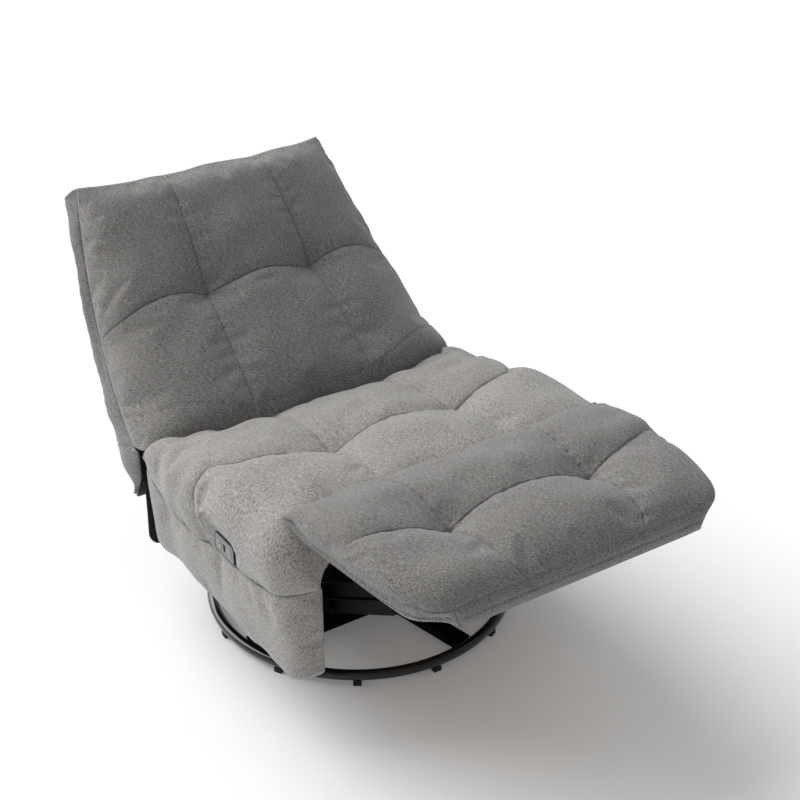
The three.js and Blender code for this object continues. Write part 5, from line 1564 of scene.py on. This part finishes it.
@dataclass
class BackCushion:
    """The tufted front of the back."""

    shape: BackShape
    power: float = 2.5
    column: float = 0.130
    row_share: float = 0.514
    tuft_depth: float = 0.034
    tuft_reach: float = 0.052
    seam_depth: float = 0.004
    seam_reach: float = 0.022
    lip_share: float = 0.10
    low_seam: float = 0.07

    def __post_init__(self) -> None:
        """Works out the distances."""
        self.arch = Arch(0.345, 0.10, self.power)
        self.edge = self.arch.reach()
        self.length = self.shape.height
        self.row_at = self.row_share * self.length

    def row_bend(self, s: Array) -> Array:
        """How far the cross seam bends down at a distance from the middle."""
        middle = -0.012 * np.clip(1 - (s / self.column) ** 2, 0, 1) ** 2
        return middle + smooth_curve(
            np.abs(s), [0, self.column, 0.17, 0.21, 0.26, 0.33, self.edge], [0, 0, -0.009, -0.012, -0.006, 0.02, 0.044]
        )

    def form(self, s: Array, t: Array) -> Array:
        """The front's smooth form at distances across and up."""
        cross, crown = self.arch.read(s)
        share = t / self.length
        crown = crown ** (1 - 0.45 * (1 - step_up(share, 0.02, 0.2)))
        near = np.clip(1 - ((t - self.row_at) / 0.22) ** 2, 0, 1) ** 2
        share = share - self.row_bend(s) * near / self.length
        lipped = np.maximum(0, 1 - share / self.lip_share) ** 2 + np.maximum(0, (share - 1) / self.lip_share + 1) ** 2
        front = self.shape.line(self.shape.foot, self.shape.head, share)
        push = self.shape.puff - (self.shape.puff + self.shape.lip) * lipped
        front = front + self.shape.forward * push[..., None]
        edge = self.shape.edge(share)
        place = edge * (1 - crown[..., None]) + front * crown[..., None] + self.shape.sag(cross, share)
        dip = np.exp(-((np.abs(s) - self.column) / 0.03) ** 2) * step_up(share, 0.9, 1)
        place = place - 0.004 * dip[..., None] * self.shape.up
        half = self.shape.half(share)
        return np.stack([cross * half + self.shape.shift(share), place[..., 0], place[..., 1]], axis=-1)

    def sink(self, s: Array, t: Array, points: Array) -> Array:
        """How far seams and tufts pull the cloth in."""
        _, crown = self.arch.read(s)
        gap_s, gap_t = np.abs(s) - self.column, t - self.row_at
        tuft = crease(np.hypot(gap_s, gap_t), self.tuft_reach)
        seam = np.maximum(crease(gap_s, self.seam_reach), crease(gap_t, self.seam_reach) * crown)
        calm = step_up(t, 0.0, 0.08) * (1 - step_up(t, self.length - 0.06, self.length))
        return (self.tuft_depth * tuft + self.seam_depth * seam) * calm

    def detail(self, s: Array, t: Array, points: Array) -> Array:
        """Seam lines, gathers, folds round the tufts and ripples by the upper side seams."""
        gap_s, gap_t = np.abs(s) - self.column, t - self.row_at
        side = np.sign(s)
        edge = self.edge - np.abs(s)
        calm = step_up(edge, 0, 0.012)
        total = np.maximum(groove(gap_s), groove(gap_t)) * calm
        low = (0.055 + self.low_seam * step_up(np.abs(s), 0.1, 0.28)) * self.length
        total = np.maximum(total, groove(t - low, 0.0026) * calm)
        total += puckers(gap_s, t + 2 * side, 0.026, 0.0006, 0.012, 71) * calm
        total += puckers(gap_t, s, 0.028, 0.0007, 0.012, 73) * calm
        total += starred(gap_s, gap_t, 4, 0.003, 0.032, 0.2 + side)
        total += 0.0018 * ripple(s, t, 0.13, 75) * calm
        slant = t + 0.75 * edge
        upper = step_up(t, self.row_at + 0.02, self.row_at + 0.08)
        total += 0.0016 * np.sin(slant * 2 * math.pi / 0.034 + 1.4 * ripple(t, s, 0.09, 77, 5)) * np.exp(
            -edge / 0.045
        ) * upper * step_up(edge, 0, 0.01)
        return total + groove(edge, 0.0035, 0.004) + puckers(edge, t, 0.03, 0.0009, 0.018, 79)

    def build(self, finishes: Wardrobe) -> bpy.types.Object:
        """Makes the cushion and returns it."""
        e = self.edge
        quilt = Quilt(
            self.form, self.sink, self.detail, (-e, -self.column, self.column, e), (0, self.row_at, self.length),
            (-self.column, self.column), (self.row_at,), Padding(most=0.02), start=0.003, dome=0.015,
            dome_reach=0.05, valley=0.45, rims=(0.09, 0.05, 0.05),
        )
        front, s, t = quilt.skin()
        share = t / self.length
        shift = self.shape.shift(share)
        for column, sign in ((0, -1.0), (-1, 1.0)):
            front[:, column, 0] = sign * self.shape.half(share) + shift
            front[:, column, 1:] = self.shape.edge(share) + self.shape.sag(np.full(len(share), sign), share)
        cross, _ = self.arch.read(s)
        even = 0.4 * cross + 0.6 * s / e
        half = self.shape.half(share)
        x = even[None] * half[:, None]
        edge = self.shape.edge(share)
        deep = self.shape.line(self.shape.foot, self.shape.head, share) - self.shape.forward * self.shape.pad_depth
        reach = np.maximum(0, (deep - edge) @ self.shape.forward)
        wing = np.minimum(0.308, half - 0.034)[:, None]
        inside = 1 - np.clip((np.abs(x) - wing + 0.001) / 0.002, 0, 1)
        place = edge[:, None] + self.shape.forward * (reach[:, None] * inside)[..., None]
        place = place + self.shape.sag(x / half[:, None], np.repeat(share[:, None], len(s), axis=1), 0.014)
        rear = np.concatenate([(x + shift[:, None])[..., None], place], axis=2)
        rear[:, 0], rear[:, -1] = front[:, 0], front[:, -1]
        chart = chart_of(s, t)
        top = bridge(front[-1], rear[-1], 12, chart[-1])
        k = np.linspace(0, 1, 13)[:, None]
        lift = 0.005 * np.sin(math.pi * k**0.6) ** 0.8 * (1 - np.abs(even[None]) ** 6)
        top.points[..., 1] += self.shape.up[0] * lift
        top.points[..., 2] += self.shape.up[1] * lift
        bottom = bridge(front[0], rear[0], 12, chart[0])
        sag = 0.018 * np.sin(math.pi * k) ** 0.7 * (1 - np.abs(even[None]) ** 10)
        bottom.points[..., 1] -= self.shape.up[0] * sag[: bottom.points.shape[0]]
        bottom.points[..., 2] -= self.shape.up[1] * sag[: bottom.points.shape[0]]
        piece = sewn("back_cushion_cover", [Patch(front, chart), Patch(rear, chart), top, bottom])
        return dress(piece, finishes.back, Body.BACK, Slot.BACK, "back_cushion", fill=0.8)


@dataclass
class BackCover:
    """The outer back: side strips, rear face and the skirt under it."""

    shape: BackShape
    wall: float = 0.004
    rounding: float = 0.030

    def section(self, share: Array, cross: Array) -> Array:
        """Points of the cover's outside.

        Args:
            share: share up the back, from -1 at the skirt's tip.
            cross: share along the section, from one side seam round to the other.

        Returns:
            The points.
        """
        half = self.shape.half(share)
        edge = self.shape.edge(share) - self.shape.forward * 0.0003
        rear = self.shape.behind(share)
        depth = np.linalg.norm(rear - edge, axis=-1)
        turn = np.minimum(self.rounding, 0.6 * depth)
        side = depth - turn
        arc = turn * math.pi / 2
        flat = half - turn
        whole = side + arc + flat
        run = np.abs(cross) * whole
        on_flat = np.clip(run, 0, flat)
        angle = np.clip((run - flat) / np.maximum(arc, 1e-9), 0, 1) * math.pi / 2
        down = np.clip(run - flat - arc, 0, None)
        x = on_flat + turn * np.sin(angle) + 0.010 * np.sin(math.pi * np.clip(down / np.maximum(side, 1e-9), 0, 1) ** 0.7)
        back = depth - turn + turn * np.cos(angle) - down
        share_back = back / np.maximum(depth, 1e-9)
        place = edge + (rear - edge) * share_back[..., None]
        x = np.sign(cross) * (x + 0.014 * np.clip(share_back, 0, 1) * np.clip(share, 0, 1) ** 0.6)
        place = place + self.shape.sag(np.clip(x / half, -1, 1), share, 0.022)
        return np.concatenate([(x + self.shape.shift(share))[..., None], place], axis=-1)

    def build(self, finishes: Wardrobe) -> bpy.types.Object:
        """Makes the cover and returns it."""
        tall = self.shape.height
        rows = np.concatenate([np.linspace(-1, -0.08, 30)[:-1], np.linspace(-0.08, 0, 9)[:-1], np.linspace(0, 1, 118)])
        cols = np.linspace(-1, 1, 205)
        cross, share = np.meshgrid(cols, rows)
        outer = self.section(share, cross)
        around = cross * 0.46
        along = np.where(share < 0, share * 0.14, share * tall)
        sink = self.detail(cross, share, around, along)
        normal = outward_of(outer)
        middle = normal[len(rows) // 2, len(cols) // 2]
        facing = 1.0 if middle @ np.array([0, *(-self.shape.rear_normal)]) > 0 else -1.0
        outer = outer - facing * normal * sink[..., None]
        inner = outer - facing * normal * self.wall
        inner[-1] = self.section(np.full(len(cols), 1.0), cols) - facing * normal[-1] * self.wall
        cap_rows = 10
        end = outer[-1]
        line = end.copy()
        middle = float(self.shape.shift(1.0))
        line[:, 0] = middle + np.clip(line[:, 0] - middle, -self.shape.half(1.0), self.shape.half(1.0))
        line[:, 1:] = self.shape.edge(np.ones(len(cols))) - self.shape.forward * 0.0003
        line[:, 1:] += self.shape.sag((line[:, 0] - self.shape.shift(1.0)) / self.shape.half(1.0), np.ones(len(cols)), 0.022)
        cap = bridge(end, line, cap_rows, np.stack([end[:, 0], along[-1]], axis=-1))
        k = np.linspace(0, 1, cap_rows + 1)[:, None]
        dome = 0.004 * np.sin(math.pi * k) * np.clip(1 - np.abs(cols[None]) ** 8, 0, 1)
        cap.points[..., 1] += self.shape.up[0] * dome
        cap.points[..., 2] += self.shape.up[1] * dome
        under = cap.points - np.array([0, *(self.shape.up * self.wall)])
        inner[-1] = under[0]
        chart = np.stack([around, along], axis=-1)
        patches = [
            Patch(outer, chart), cap, Patch(inner, chart), Patch(under, cap.chart),
            bridge(outer[0], inner[0], 1, chart[0]),
            bridge(outer[:, 0], inner[:, 0], 1, chart[:, 0]), bridge(outer[:, -1], inner[:, -1], 1, chart[:, -1]),
            bridge(cap.points[-1], under[-1], 1, cap.chart[-1]),
            bridge(cap.points[:, 0], under[:, 0], 1, cap.chart[:, 0]),
            bridge(cap.points[:, -1], under[:, -1], 1, cap.chart[:, -1]),
        ]
        piece = sewn("back_outer_cover", patches)
        return dress(piece, finishes.back, Body.BACK, Slot.BACK, "back_cover", fill=0.5)

    def detail(self, cross: Array, share: Array, around: Array, along: Array) -> Array:
        """Seams, gathers on the side strips and slow waves over the rear."""
        corner = np.abs(cross) - 0.80
        edge = (1 - np.abs(cross)) * 0.46
        side = np.sign(cross).astype(int)
        total = groove(corner * 0.46, 0.0022, 0.003) + groove(along, 0.0026, 0.0028)
        total += puckers(corner * 0.46, along + 3 * side, 0.04, 0.0005, 0.016, 81)
        total += 0.0006 * np.sin((along - 0.6 * edge) * 2 * math.pi / 0.037 + ripple(along, around, 0.1, 83, 5)) * (
            step_up(np.abs(cross), 0.82, 0.9) * step_up(edge, 0.0, 0.02) * step_up(along, 0.0, 0.05)
        )
        total += puckers(along, around, 0.05, 0.001, 0.03, 85)
        calm = step_up(edge, 0, 0.008) * (1 - step_up(share, 0.99, 1))
        return (total + 0.002 * ripple(around, along, 0.15, 87)) * calm


# Controls, ring and springs


@dataclass
class RepeatTree:
    """A Geometry Nodes tree that repeats a small part at the points of a mesh."""

    name: str

    def __post_init__(self) -> None:
        """Starts the tree with its geometry in and out."""
        self.tree = bpy.data.node_groups.new(self.name, "GeometryNodeTree")
        self.tree.interface.new_socket("Geometry", in_out="INPUT", socket_type="NodeSocketGeometry")
        self.tree.interface.new_socket("Geometry", in_out="OUTPUT", socket_type="NodeSocketGeometry")
        self.start = self.tree.nodes.new("NodeGroupInput")
        self.end = self.tree.nodes.new("NodeGroupOutput")
        self.sizes: dict[str, str] = {}

    def size(self, name: str, value: float) -> bpy.types.NodeSocket:
        """Adds a named input of a size and returns its socket."""
        item = self.tree.interface.new_socket(name, in_out="INPUT", socket_type="NodeSocketFloat")
        item.default_value = value
        self.sizes[name] = item.identifier
        return next(s for s in self.start.outputs if s.identifier == item.identifier)

    def add(self, kind: str, settings: dict | None = None, inputs: dict | None = None) -> bpy.types.Node:
        """Adds a node with its settings and then its inputs.

        Args:
            kind: the node's type.
            settings: its properties.
            inputs: its sockets by name or number, values or links.

        Returns:
            The node.
        """
        node = self.tree.nodes.new(kind)
        for key, value in (settings or {}).items():
            setattr(node, key, value)
        for key, value in (inputs or {}).items():
            if isinstance(value, bpy.types.NodeSocket):
                self.tree.links.new(value, node.inputs[key])
            else:
                node.inputs[key].default_value = value
        return node

    def close(self, geometry: bpy.types.NodeSocket, material: bpy.types.Material) -> None:
        """Ends the tree in Realize Instances and Set Material."""
        real = self.add("GeometryNodeRealizeInstances", {}, {"Geometry": geometry})
        coat = self.add("GeometryNodeSetMaterial", {}, {"Geometry": real.outputs[0], "Material": material})
        self.tree.links.new(coat.outputs[0], self.end.inputs[0])

    def grow(self, name: str, seed_mesh: bpy.types.Mesh, sizes: dict[str, float]) -> bpy.types.Object:
        """Runs the tree over a mesh and keeps the result as a plain mesh.

        Args:
            name: the piece's name.
            seed_mesh: the points that it starts from.
            sizes: values of the named inputs.

        Returns:
            The piece, at the origin.
        """
        carrier = bpy.data.objects.new(f"{name}_carrier", seed_mesh)
        bpy.context.collection.objects.link(carrier)
        modifier = carrier.modifiers.new("repeat", "NODES")
        modifier.node_group = self.tree
        for key, value in sizes.items():
            modifier[self.sizes[key]] = value
        graph = bpy.context.evaluated_depsgraph_get()
        mesh = bpy.data.meshes.new_from_object(carrier.evaluated_get(graph), preserve_all_data_layers=True, depsgraph=graph)
        carrier.modifiers.remove(modifier)
        bpy.data.objects.remove(carrier, do_unlink=True)
        turn_outward(mesh, 1e-6)
        mesh.name = name
        piece = bpy.data.objects.new(name, mesh)
        bpy.context.collection.objects.link(piece)
        return piece


def point_mesh(name: str, points: Array, facing: Array | None = None) -> bpy.types.Mesh:
    """A mesh of loose points in the chair's frame, with the direction that each part faces.

    Args:
        name: the mesh's name.
        points: the points.
        facing: a direction at each point.

    Returns:
        The mesh.
    """
    mesh = bpy.data.meshes.new(name)
    mesh.from_pydata((np.asarray(points, float) + np.array(SHIFT)).tolist(), [], [])
    if facing is not None:
        layer = mesh.attributes.new("facing", "FLOAT_VECTOR", "POINT")
        layer.data.foreach_set("vector", np.asarray(facing, np.float32).ravel())
    return mesh


@dataclass
class FloorRing:
    """The gloss ring that stands on the floor."""

    radius: float = 0.3175
    tube: float = 0.0112
    height: float = 0.022

    def build(self, finishes: Wardrobe) -> bpy.types.Object:
        """Sweeps a round tube round a circle and returns the ring."""
        tree = RepeatTree("ring_sweep")
        radius, tube = tree.size("Ring radius", self.radius), tree.size("Tube radius", self.tube)
        path = tree.add("GeometryNodeCurvePrimitiveCircle", {}, {"Resolution": 192, "Radius": radius})
        section = tree.add("GeometryNodeCurvePrimitiveCircle", {}, {"Resolution": 28, "Radius": tube})
        sweep = tree.add(
            "GeometryNodeCurveToMesh", {}, {"Curve": path.outputs[0], "Profile Curve": section.outputs[0]}
        )
        smooth = tree.add("GeometryNodeSetShadeSmooth", {}, {"Geometry": sweep.outputs[0]})
        place = tree.add(
            "GeometryNodeTransform", {},
            {"Geometry": smooth.outputs[0], "Translation": (0.0, SHIFT.y, self.height)},
        )
        tree.close(place.outputs[0], finishes.ring)
        piece = tree.grow(
            "floor_ring_tube", point_mesh("ring_start", np.zeros((1, 3))),
            {"Ring radius": self.radius, "Tube radius": self.tube},
        )
        return dress(piece, finishes.ring, Body.BASE, Slot.BLACK_STEEL, "base_ring")


@dataclass
class RivetHeads:
    """Domed rivet heads on the outside of the links."""

    radius: float = 0.0074
    height: float = 0.0022

    def build(self, finishes: Wardrobe, name: str, body: Body, places: Sequence[tuple[float, float, float]]) -> bpy.types.Object:
        """Sets a domed head at each place, facing out from the middle.

        Args:
            finishes: the chair's finishes.
            name: the piece's name.
            body: the body that it rides on.
            places: centres of the heads' seats.

        Returns:
            The piece.
        """
        tree = RepeatTree(f"{name}_tree")
        radius, height = tree.size("Head radius", self.radius), tree.size("Head height", self.height)
        dome = tree.add(
            "GeometryNodeMeshUVSphere", {}, {"Segments": 16, "Rings": 8, "Radius": 1.0}
        )
        scale = tree.add("ShaderNodeCombineXYZ", {}, {"X": radius, "Y": radius, "Z": height})
        sized = tree.add("GeometryNodeTransform", {}, {"Geometry": dome.outputs[0], "Scale": scale.outputs[0]})
        smooth = tree.add("GeometryNodeSetShadeSmooth", {}, {"Geometry": sized.outputs[0]})
        facing = tree.add("GeometryNodeInputNamedAttribute", {"data_type": "FLOAT_VECTOR"}, {"Name": "facing"})
        turn = tree.add("FunctionNodeAlignRotationToVector", {"axis": "Z"}, {"Vector": facing.outputs[0]})
        spots = tree.add(
            "GeometryNodeInstanceOnPoints", {},
            {"Points": tree.start.outputs[0], "Instance": smooth.outputs[0], "Rotation": turn.outputs[0]},
        )
        tree.close(spots.outputs[0], finishes.plated)
        points = np.array(places)
        facing_out = np.stack([np.sign(points[:, 0]), 0 * points[:, 0], 0 * points[:, 0]], axis=1)
        piece = tree.grow(name, point_mesh(f"{name}_points", points, facing_out),
                          {"Head radius": self.radius, "Head height": self.height})
        return dress(piece, finishes.plated, body, Slot.PLATED)


@dataclass
class Controls:
    """The grey control plate with two buttons and a charging socket."""

    x: float = -0.3853
    y: float = -0.146
    z: float = 0.345
    length: float = 0.072
    height: float = 0.038
    thickness: float = 0.0035
    corner: float = 0.006
    button: float = 0.0095
    spacing: float = 0.040

    def outline(self, grow: float, count: int = 10) -> Array:
        """The plate's rounded outline in y and z, grown outwards."""
        w, h = self.length / 2 + grow, self.height / 2 + grow
        r = max(self.corner + grow, 0.0006)
        points = []
        for cy, cz, start in ((1, 1, 0), (-1, 1, 1), (-1, -1, 2), (1, -1, 3)):
            for i in range(count + 1):
                angle = (start + i / count) * math.pi / 2
                points.append((cy * (w - r) + r * math.cos(angle), cz * (h - r) + r * math.sin(angle)))
        return np.array(points)

    def press_flat(self, points: Array) -> None:
        """Keeps cloth behind the plate, in place.

        Args:
            points: a grid of cloth on the sitter's right.
        """
        off_y = np.maximum(0, np.abs(points[..., 1] - self.y) - self.length / 2 - 0.001)
        off_z = np.maximum(0, np.abs(points[..., 2] - self.z) - self.height / 2 - 0.001)
        limit = -self.x - 0.0006 + 0.35 * np.maximum(0, np.hypot(off_y, off_z) - 0.0015)
        near = (points[..., 0] < -0.3) & (np.hypot(off_y, off_z) < 0.04)
        points[..., 0] = np.where(near, np.maximum(points[..., 0], -limit), points[..., 0])

    def rim(self, finishes: Wardrobe) -> bpy.types.Object:
        """The dark gasket line round the plate."""
        inner, outer = self.outline(0.0), self.outline(0.0022)
        levels = ((inner, -0.0005), (inner, 0.0036), (self.outline(0.0011), 0.0041), (outer, 0.0036), (outer, -0.0005))
        rings = [
            np.stack([np.full(len(line), self.x - depth), line[:, 0] + self.y, line[:, 1] + self.z], axis=1)
            for line, depth in levels
        ]
        grid = np.array(rings + rings[:1])
        grid = np.concatenate([grid, grid[:, :1]], axis=1)
        piece = sewn("control_plate_rim", [Patch(grid, grid[..., 1:])], 1e-6)
        return dress(piece, finishes.plastic, Body.PLATFORM, Slot.PLASTIC)

    def icon(self, finishes: Wardrobe, name: str, body: Body, y: float, flip: int) -> bpy.types.Object:
        """A small raised chevron on a button, as a sign of its direction."""
        s = 0.0032
        x0, x1 = self.x - self.thickness - 0.0008, self.x - self.thickness - 0.0012
        flat = [(-s, -s * 0.55 * flip), (0, s * 0.55 * flip), (s, -s * 0.55 * flip), (s, -s * 0.95 * flip),
                (0, s * 0.15 * flip), (-s, -s * 0.95 * flip)]
        points = [(x0, y + a, self.z + b) for a, b in flat] + [(x1, y + a, self.z + b) for a, b in flat]
        n = len(flat)
        faces = [[0, 1, 4, 5], [1, 2, 3, 4], [n, n + 5, n + 4, n + 1], [n + 1, n + 4, n + 3, n + 2]]
        faces += [[i, (i + 1) % n, n + (i + 1) % n, n + i] for i in range(n)]
        piece = put(name, np.array(points), faces)
        return dress(piece, finishes.plastic, body, Slot.PLASTIC)

    def build(self, finishes: Wardrobe) -> None:
        """Makes the rim and the signs, and coats the nodes that stay."""
        self.rim(finishes)
        self.icon(finishes, "open_button_sign", Body.OPEN_BUTTON, self.y - self.spacing / 2, 1)
        self.icon(finishes, "close_button_sign", Body.CLOSE_BUTTON, self.y + self.spacing / 2, -1)
        recoat(finishes.plate, "control_plate")
        recoat(finishes.button, "open_button", "close_button")
        recoat(finishes.plastic, "usb_socket", "control_box", "actuator_motor")


@dataclass
class Mechanism:
    """Steel parts under the seat: they stay as the frame has them, with better finishes and rivet heads."""

    heads = (
        ("extension_rivets", Body.EXTENSION, "extension_link", ((-0.3212, 0.3155), (-0.2617, 0.2796))),
        ("toggle_rivets", Body.TOGGLE, "toggle_link", ((-0.3710, 0.3074),)),
        ("footrest_rivets", Body.FOOTREST, "footrest_bracket", ((-0.5273, 0.4393), (-0.5772, 0.4312))),
    )

    def build(self, finishes: Wardrobe) -> None:
        """Coats the nodes of the base, the glider and the linkage."""
        recoat(finishes.steel, "base_cross", "swivel_*", "glider_frame", "platform_frame", "side_plate_*", "glide_*",
               "lift_*", "guide_*", "extension_*", "toggle_*", "footrest_bracket_*", "back_bracket_*", "drive_tube",
               "drive_lever*")
        recoat(finishes.rubber, "foot_*")
        recoat(finishes.plated, "actuator_rod*")
        recoat(finishes.spring, "seat_spring_*")
        recoat(finishes.board, "seat_rail_*", "footrest_board")
        recoat(finishes.back_board, "back_frame")
        for name, body, node, pivots in self.heads:
            places = []
            for side, corner in (("left", 0), ("right", 1)):
                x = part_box(f"{node}_{side}")[corner][0]
                places += [(x, y + SHIFT.y, z) for y, z in pivots]
            RivetHeads().build(finishes, name, body, places)


# Studio


@dataclass
class Studio:
    """The camera of the photograph, a pale floor and soft light."""

    eye: tuple[float, float, float] = (-1.60290, -2.64376, 2.28252)
    right: tuple[float, float, float] = (0.83763, -0.54620, -0.00638)
    up: tuple[float, float, float] = (0.28045, 0.42001, 0.86310)
    back: tuple[float, float, float] = (-0.46875, -0.72475, 0.50499)
    lens: float = 79.29
    ambient: float = 0.2
    lights: dict[str, tuple[float, float, tuple[float, float, float]]] = field(
        default_factory=lambda: {"key_light": (3.0, 62, (-0.34, 0.69, 0.64)), "top_light": (0.75, 140, (-0.05, 0.3, 0.95))}
    )

    def camera(self) -> None:
        """Puts the camera where the photograph was taken from."""
        data = bpy.data.cameras.new("photo_camera")
        data.lens, data.sensor_width, data.sensor_fit = self.lens, 36.0, "HORIZONTAL"
        data.clip_start, data.clip_end = 0.05, 60.0
        data.dof.use_dof = False
        camera = bpy.data.objects.new("photo_camera", data)
        bpy.context.collection.objects.link(camera)
        turn = Matrix((self.right, self.up, self.back)).transposed()
        camera.matrix_world = Matrix.Translation(Vector(self.eye) + SHIFT) @ turn.to_4x4()
        bpy.context.scene.camera = camera

    def build(self) -> None:
        """Makes the floor, the light and the camera."""
        floor = put("studio_floor", np.array([(-8, -8, 0), (8, -8, 0), (8, 8, 0), (-8, 8, 0)], float),
                    [(0, 1, 2, 3)], closed=False)
        floor.data.materials.append(StudioFloor().make())
        world = bpy.data.worlds.new("studio")
        bpy.context.scene.world = world
        world.use_nodes = True
        sky = world.node_tree.nodes["Background"]
        sky.inputs[0].default_value, sky.inputs[1].default_value = (1, 1, 1, 1), self.ambient
        for name, (energy, angle, source) in self.lights.items():
            data = bpy.data.lights.new(name, "SUN")
            data.energy, data.angle = energy, math.radians(angle)
            sun = bpy.data.objects.new(name, data)
            bpy.context.collection.objects.link(sun)
            sun.rotation_euler = Vector(source).to_track_quat("Z", "Y").to_euler()
        bpy.context.scene.view_settings.view_transform = "Standard"
        self.camera()


def main() -> None:
    """Builds the chair piece by piece over its frame."""
    logging.basicConfig(level=logging.INFO, format="%(message)s")
    finishes = Wardrobe()
    Studio().build()
    SeatCushion().build(finishes)
    for side in (-1, 1):
        SidePanel(side).build(finishes)
    RearLining().build(finishes)
    FootrestPad().build(finishes)
    shape = BackShape()
    BackCushion(shape).build(finishes)
    BackCover(shape).build(finishes)
    FloorRing().build(finishes)
    Mechanism().build(finishes)
    Controls().build(finishes)


if __name__ == "__main__":
    main()
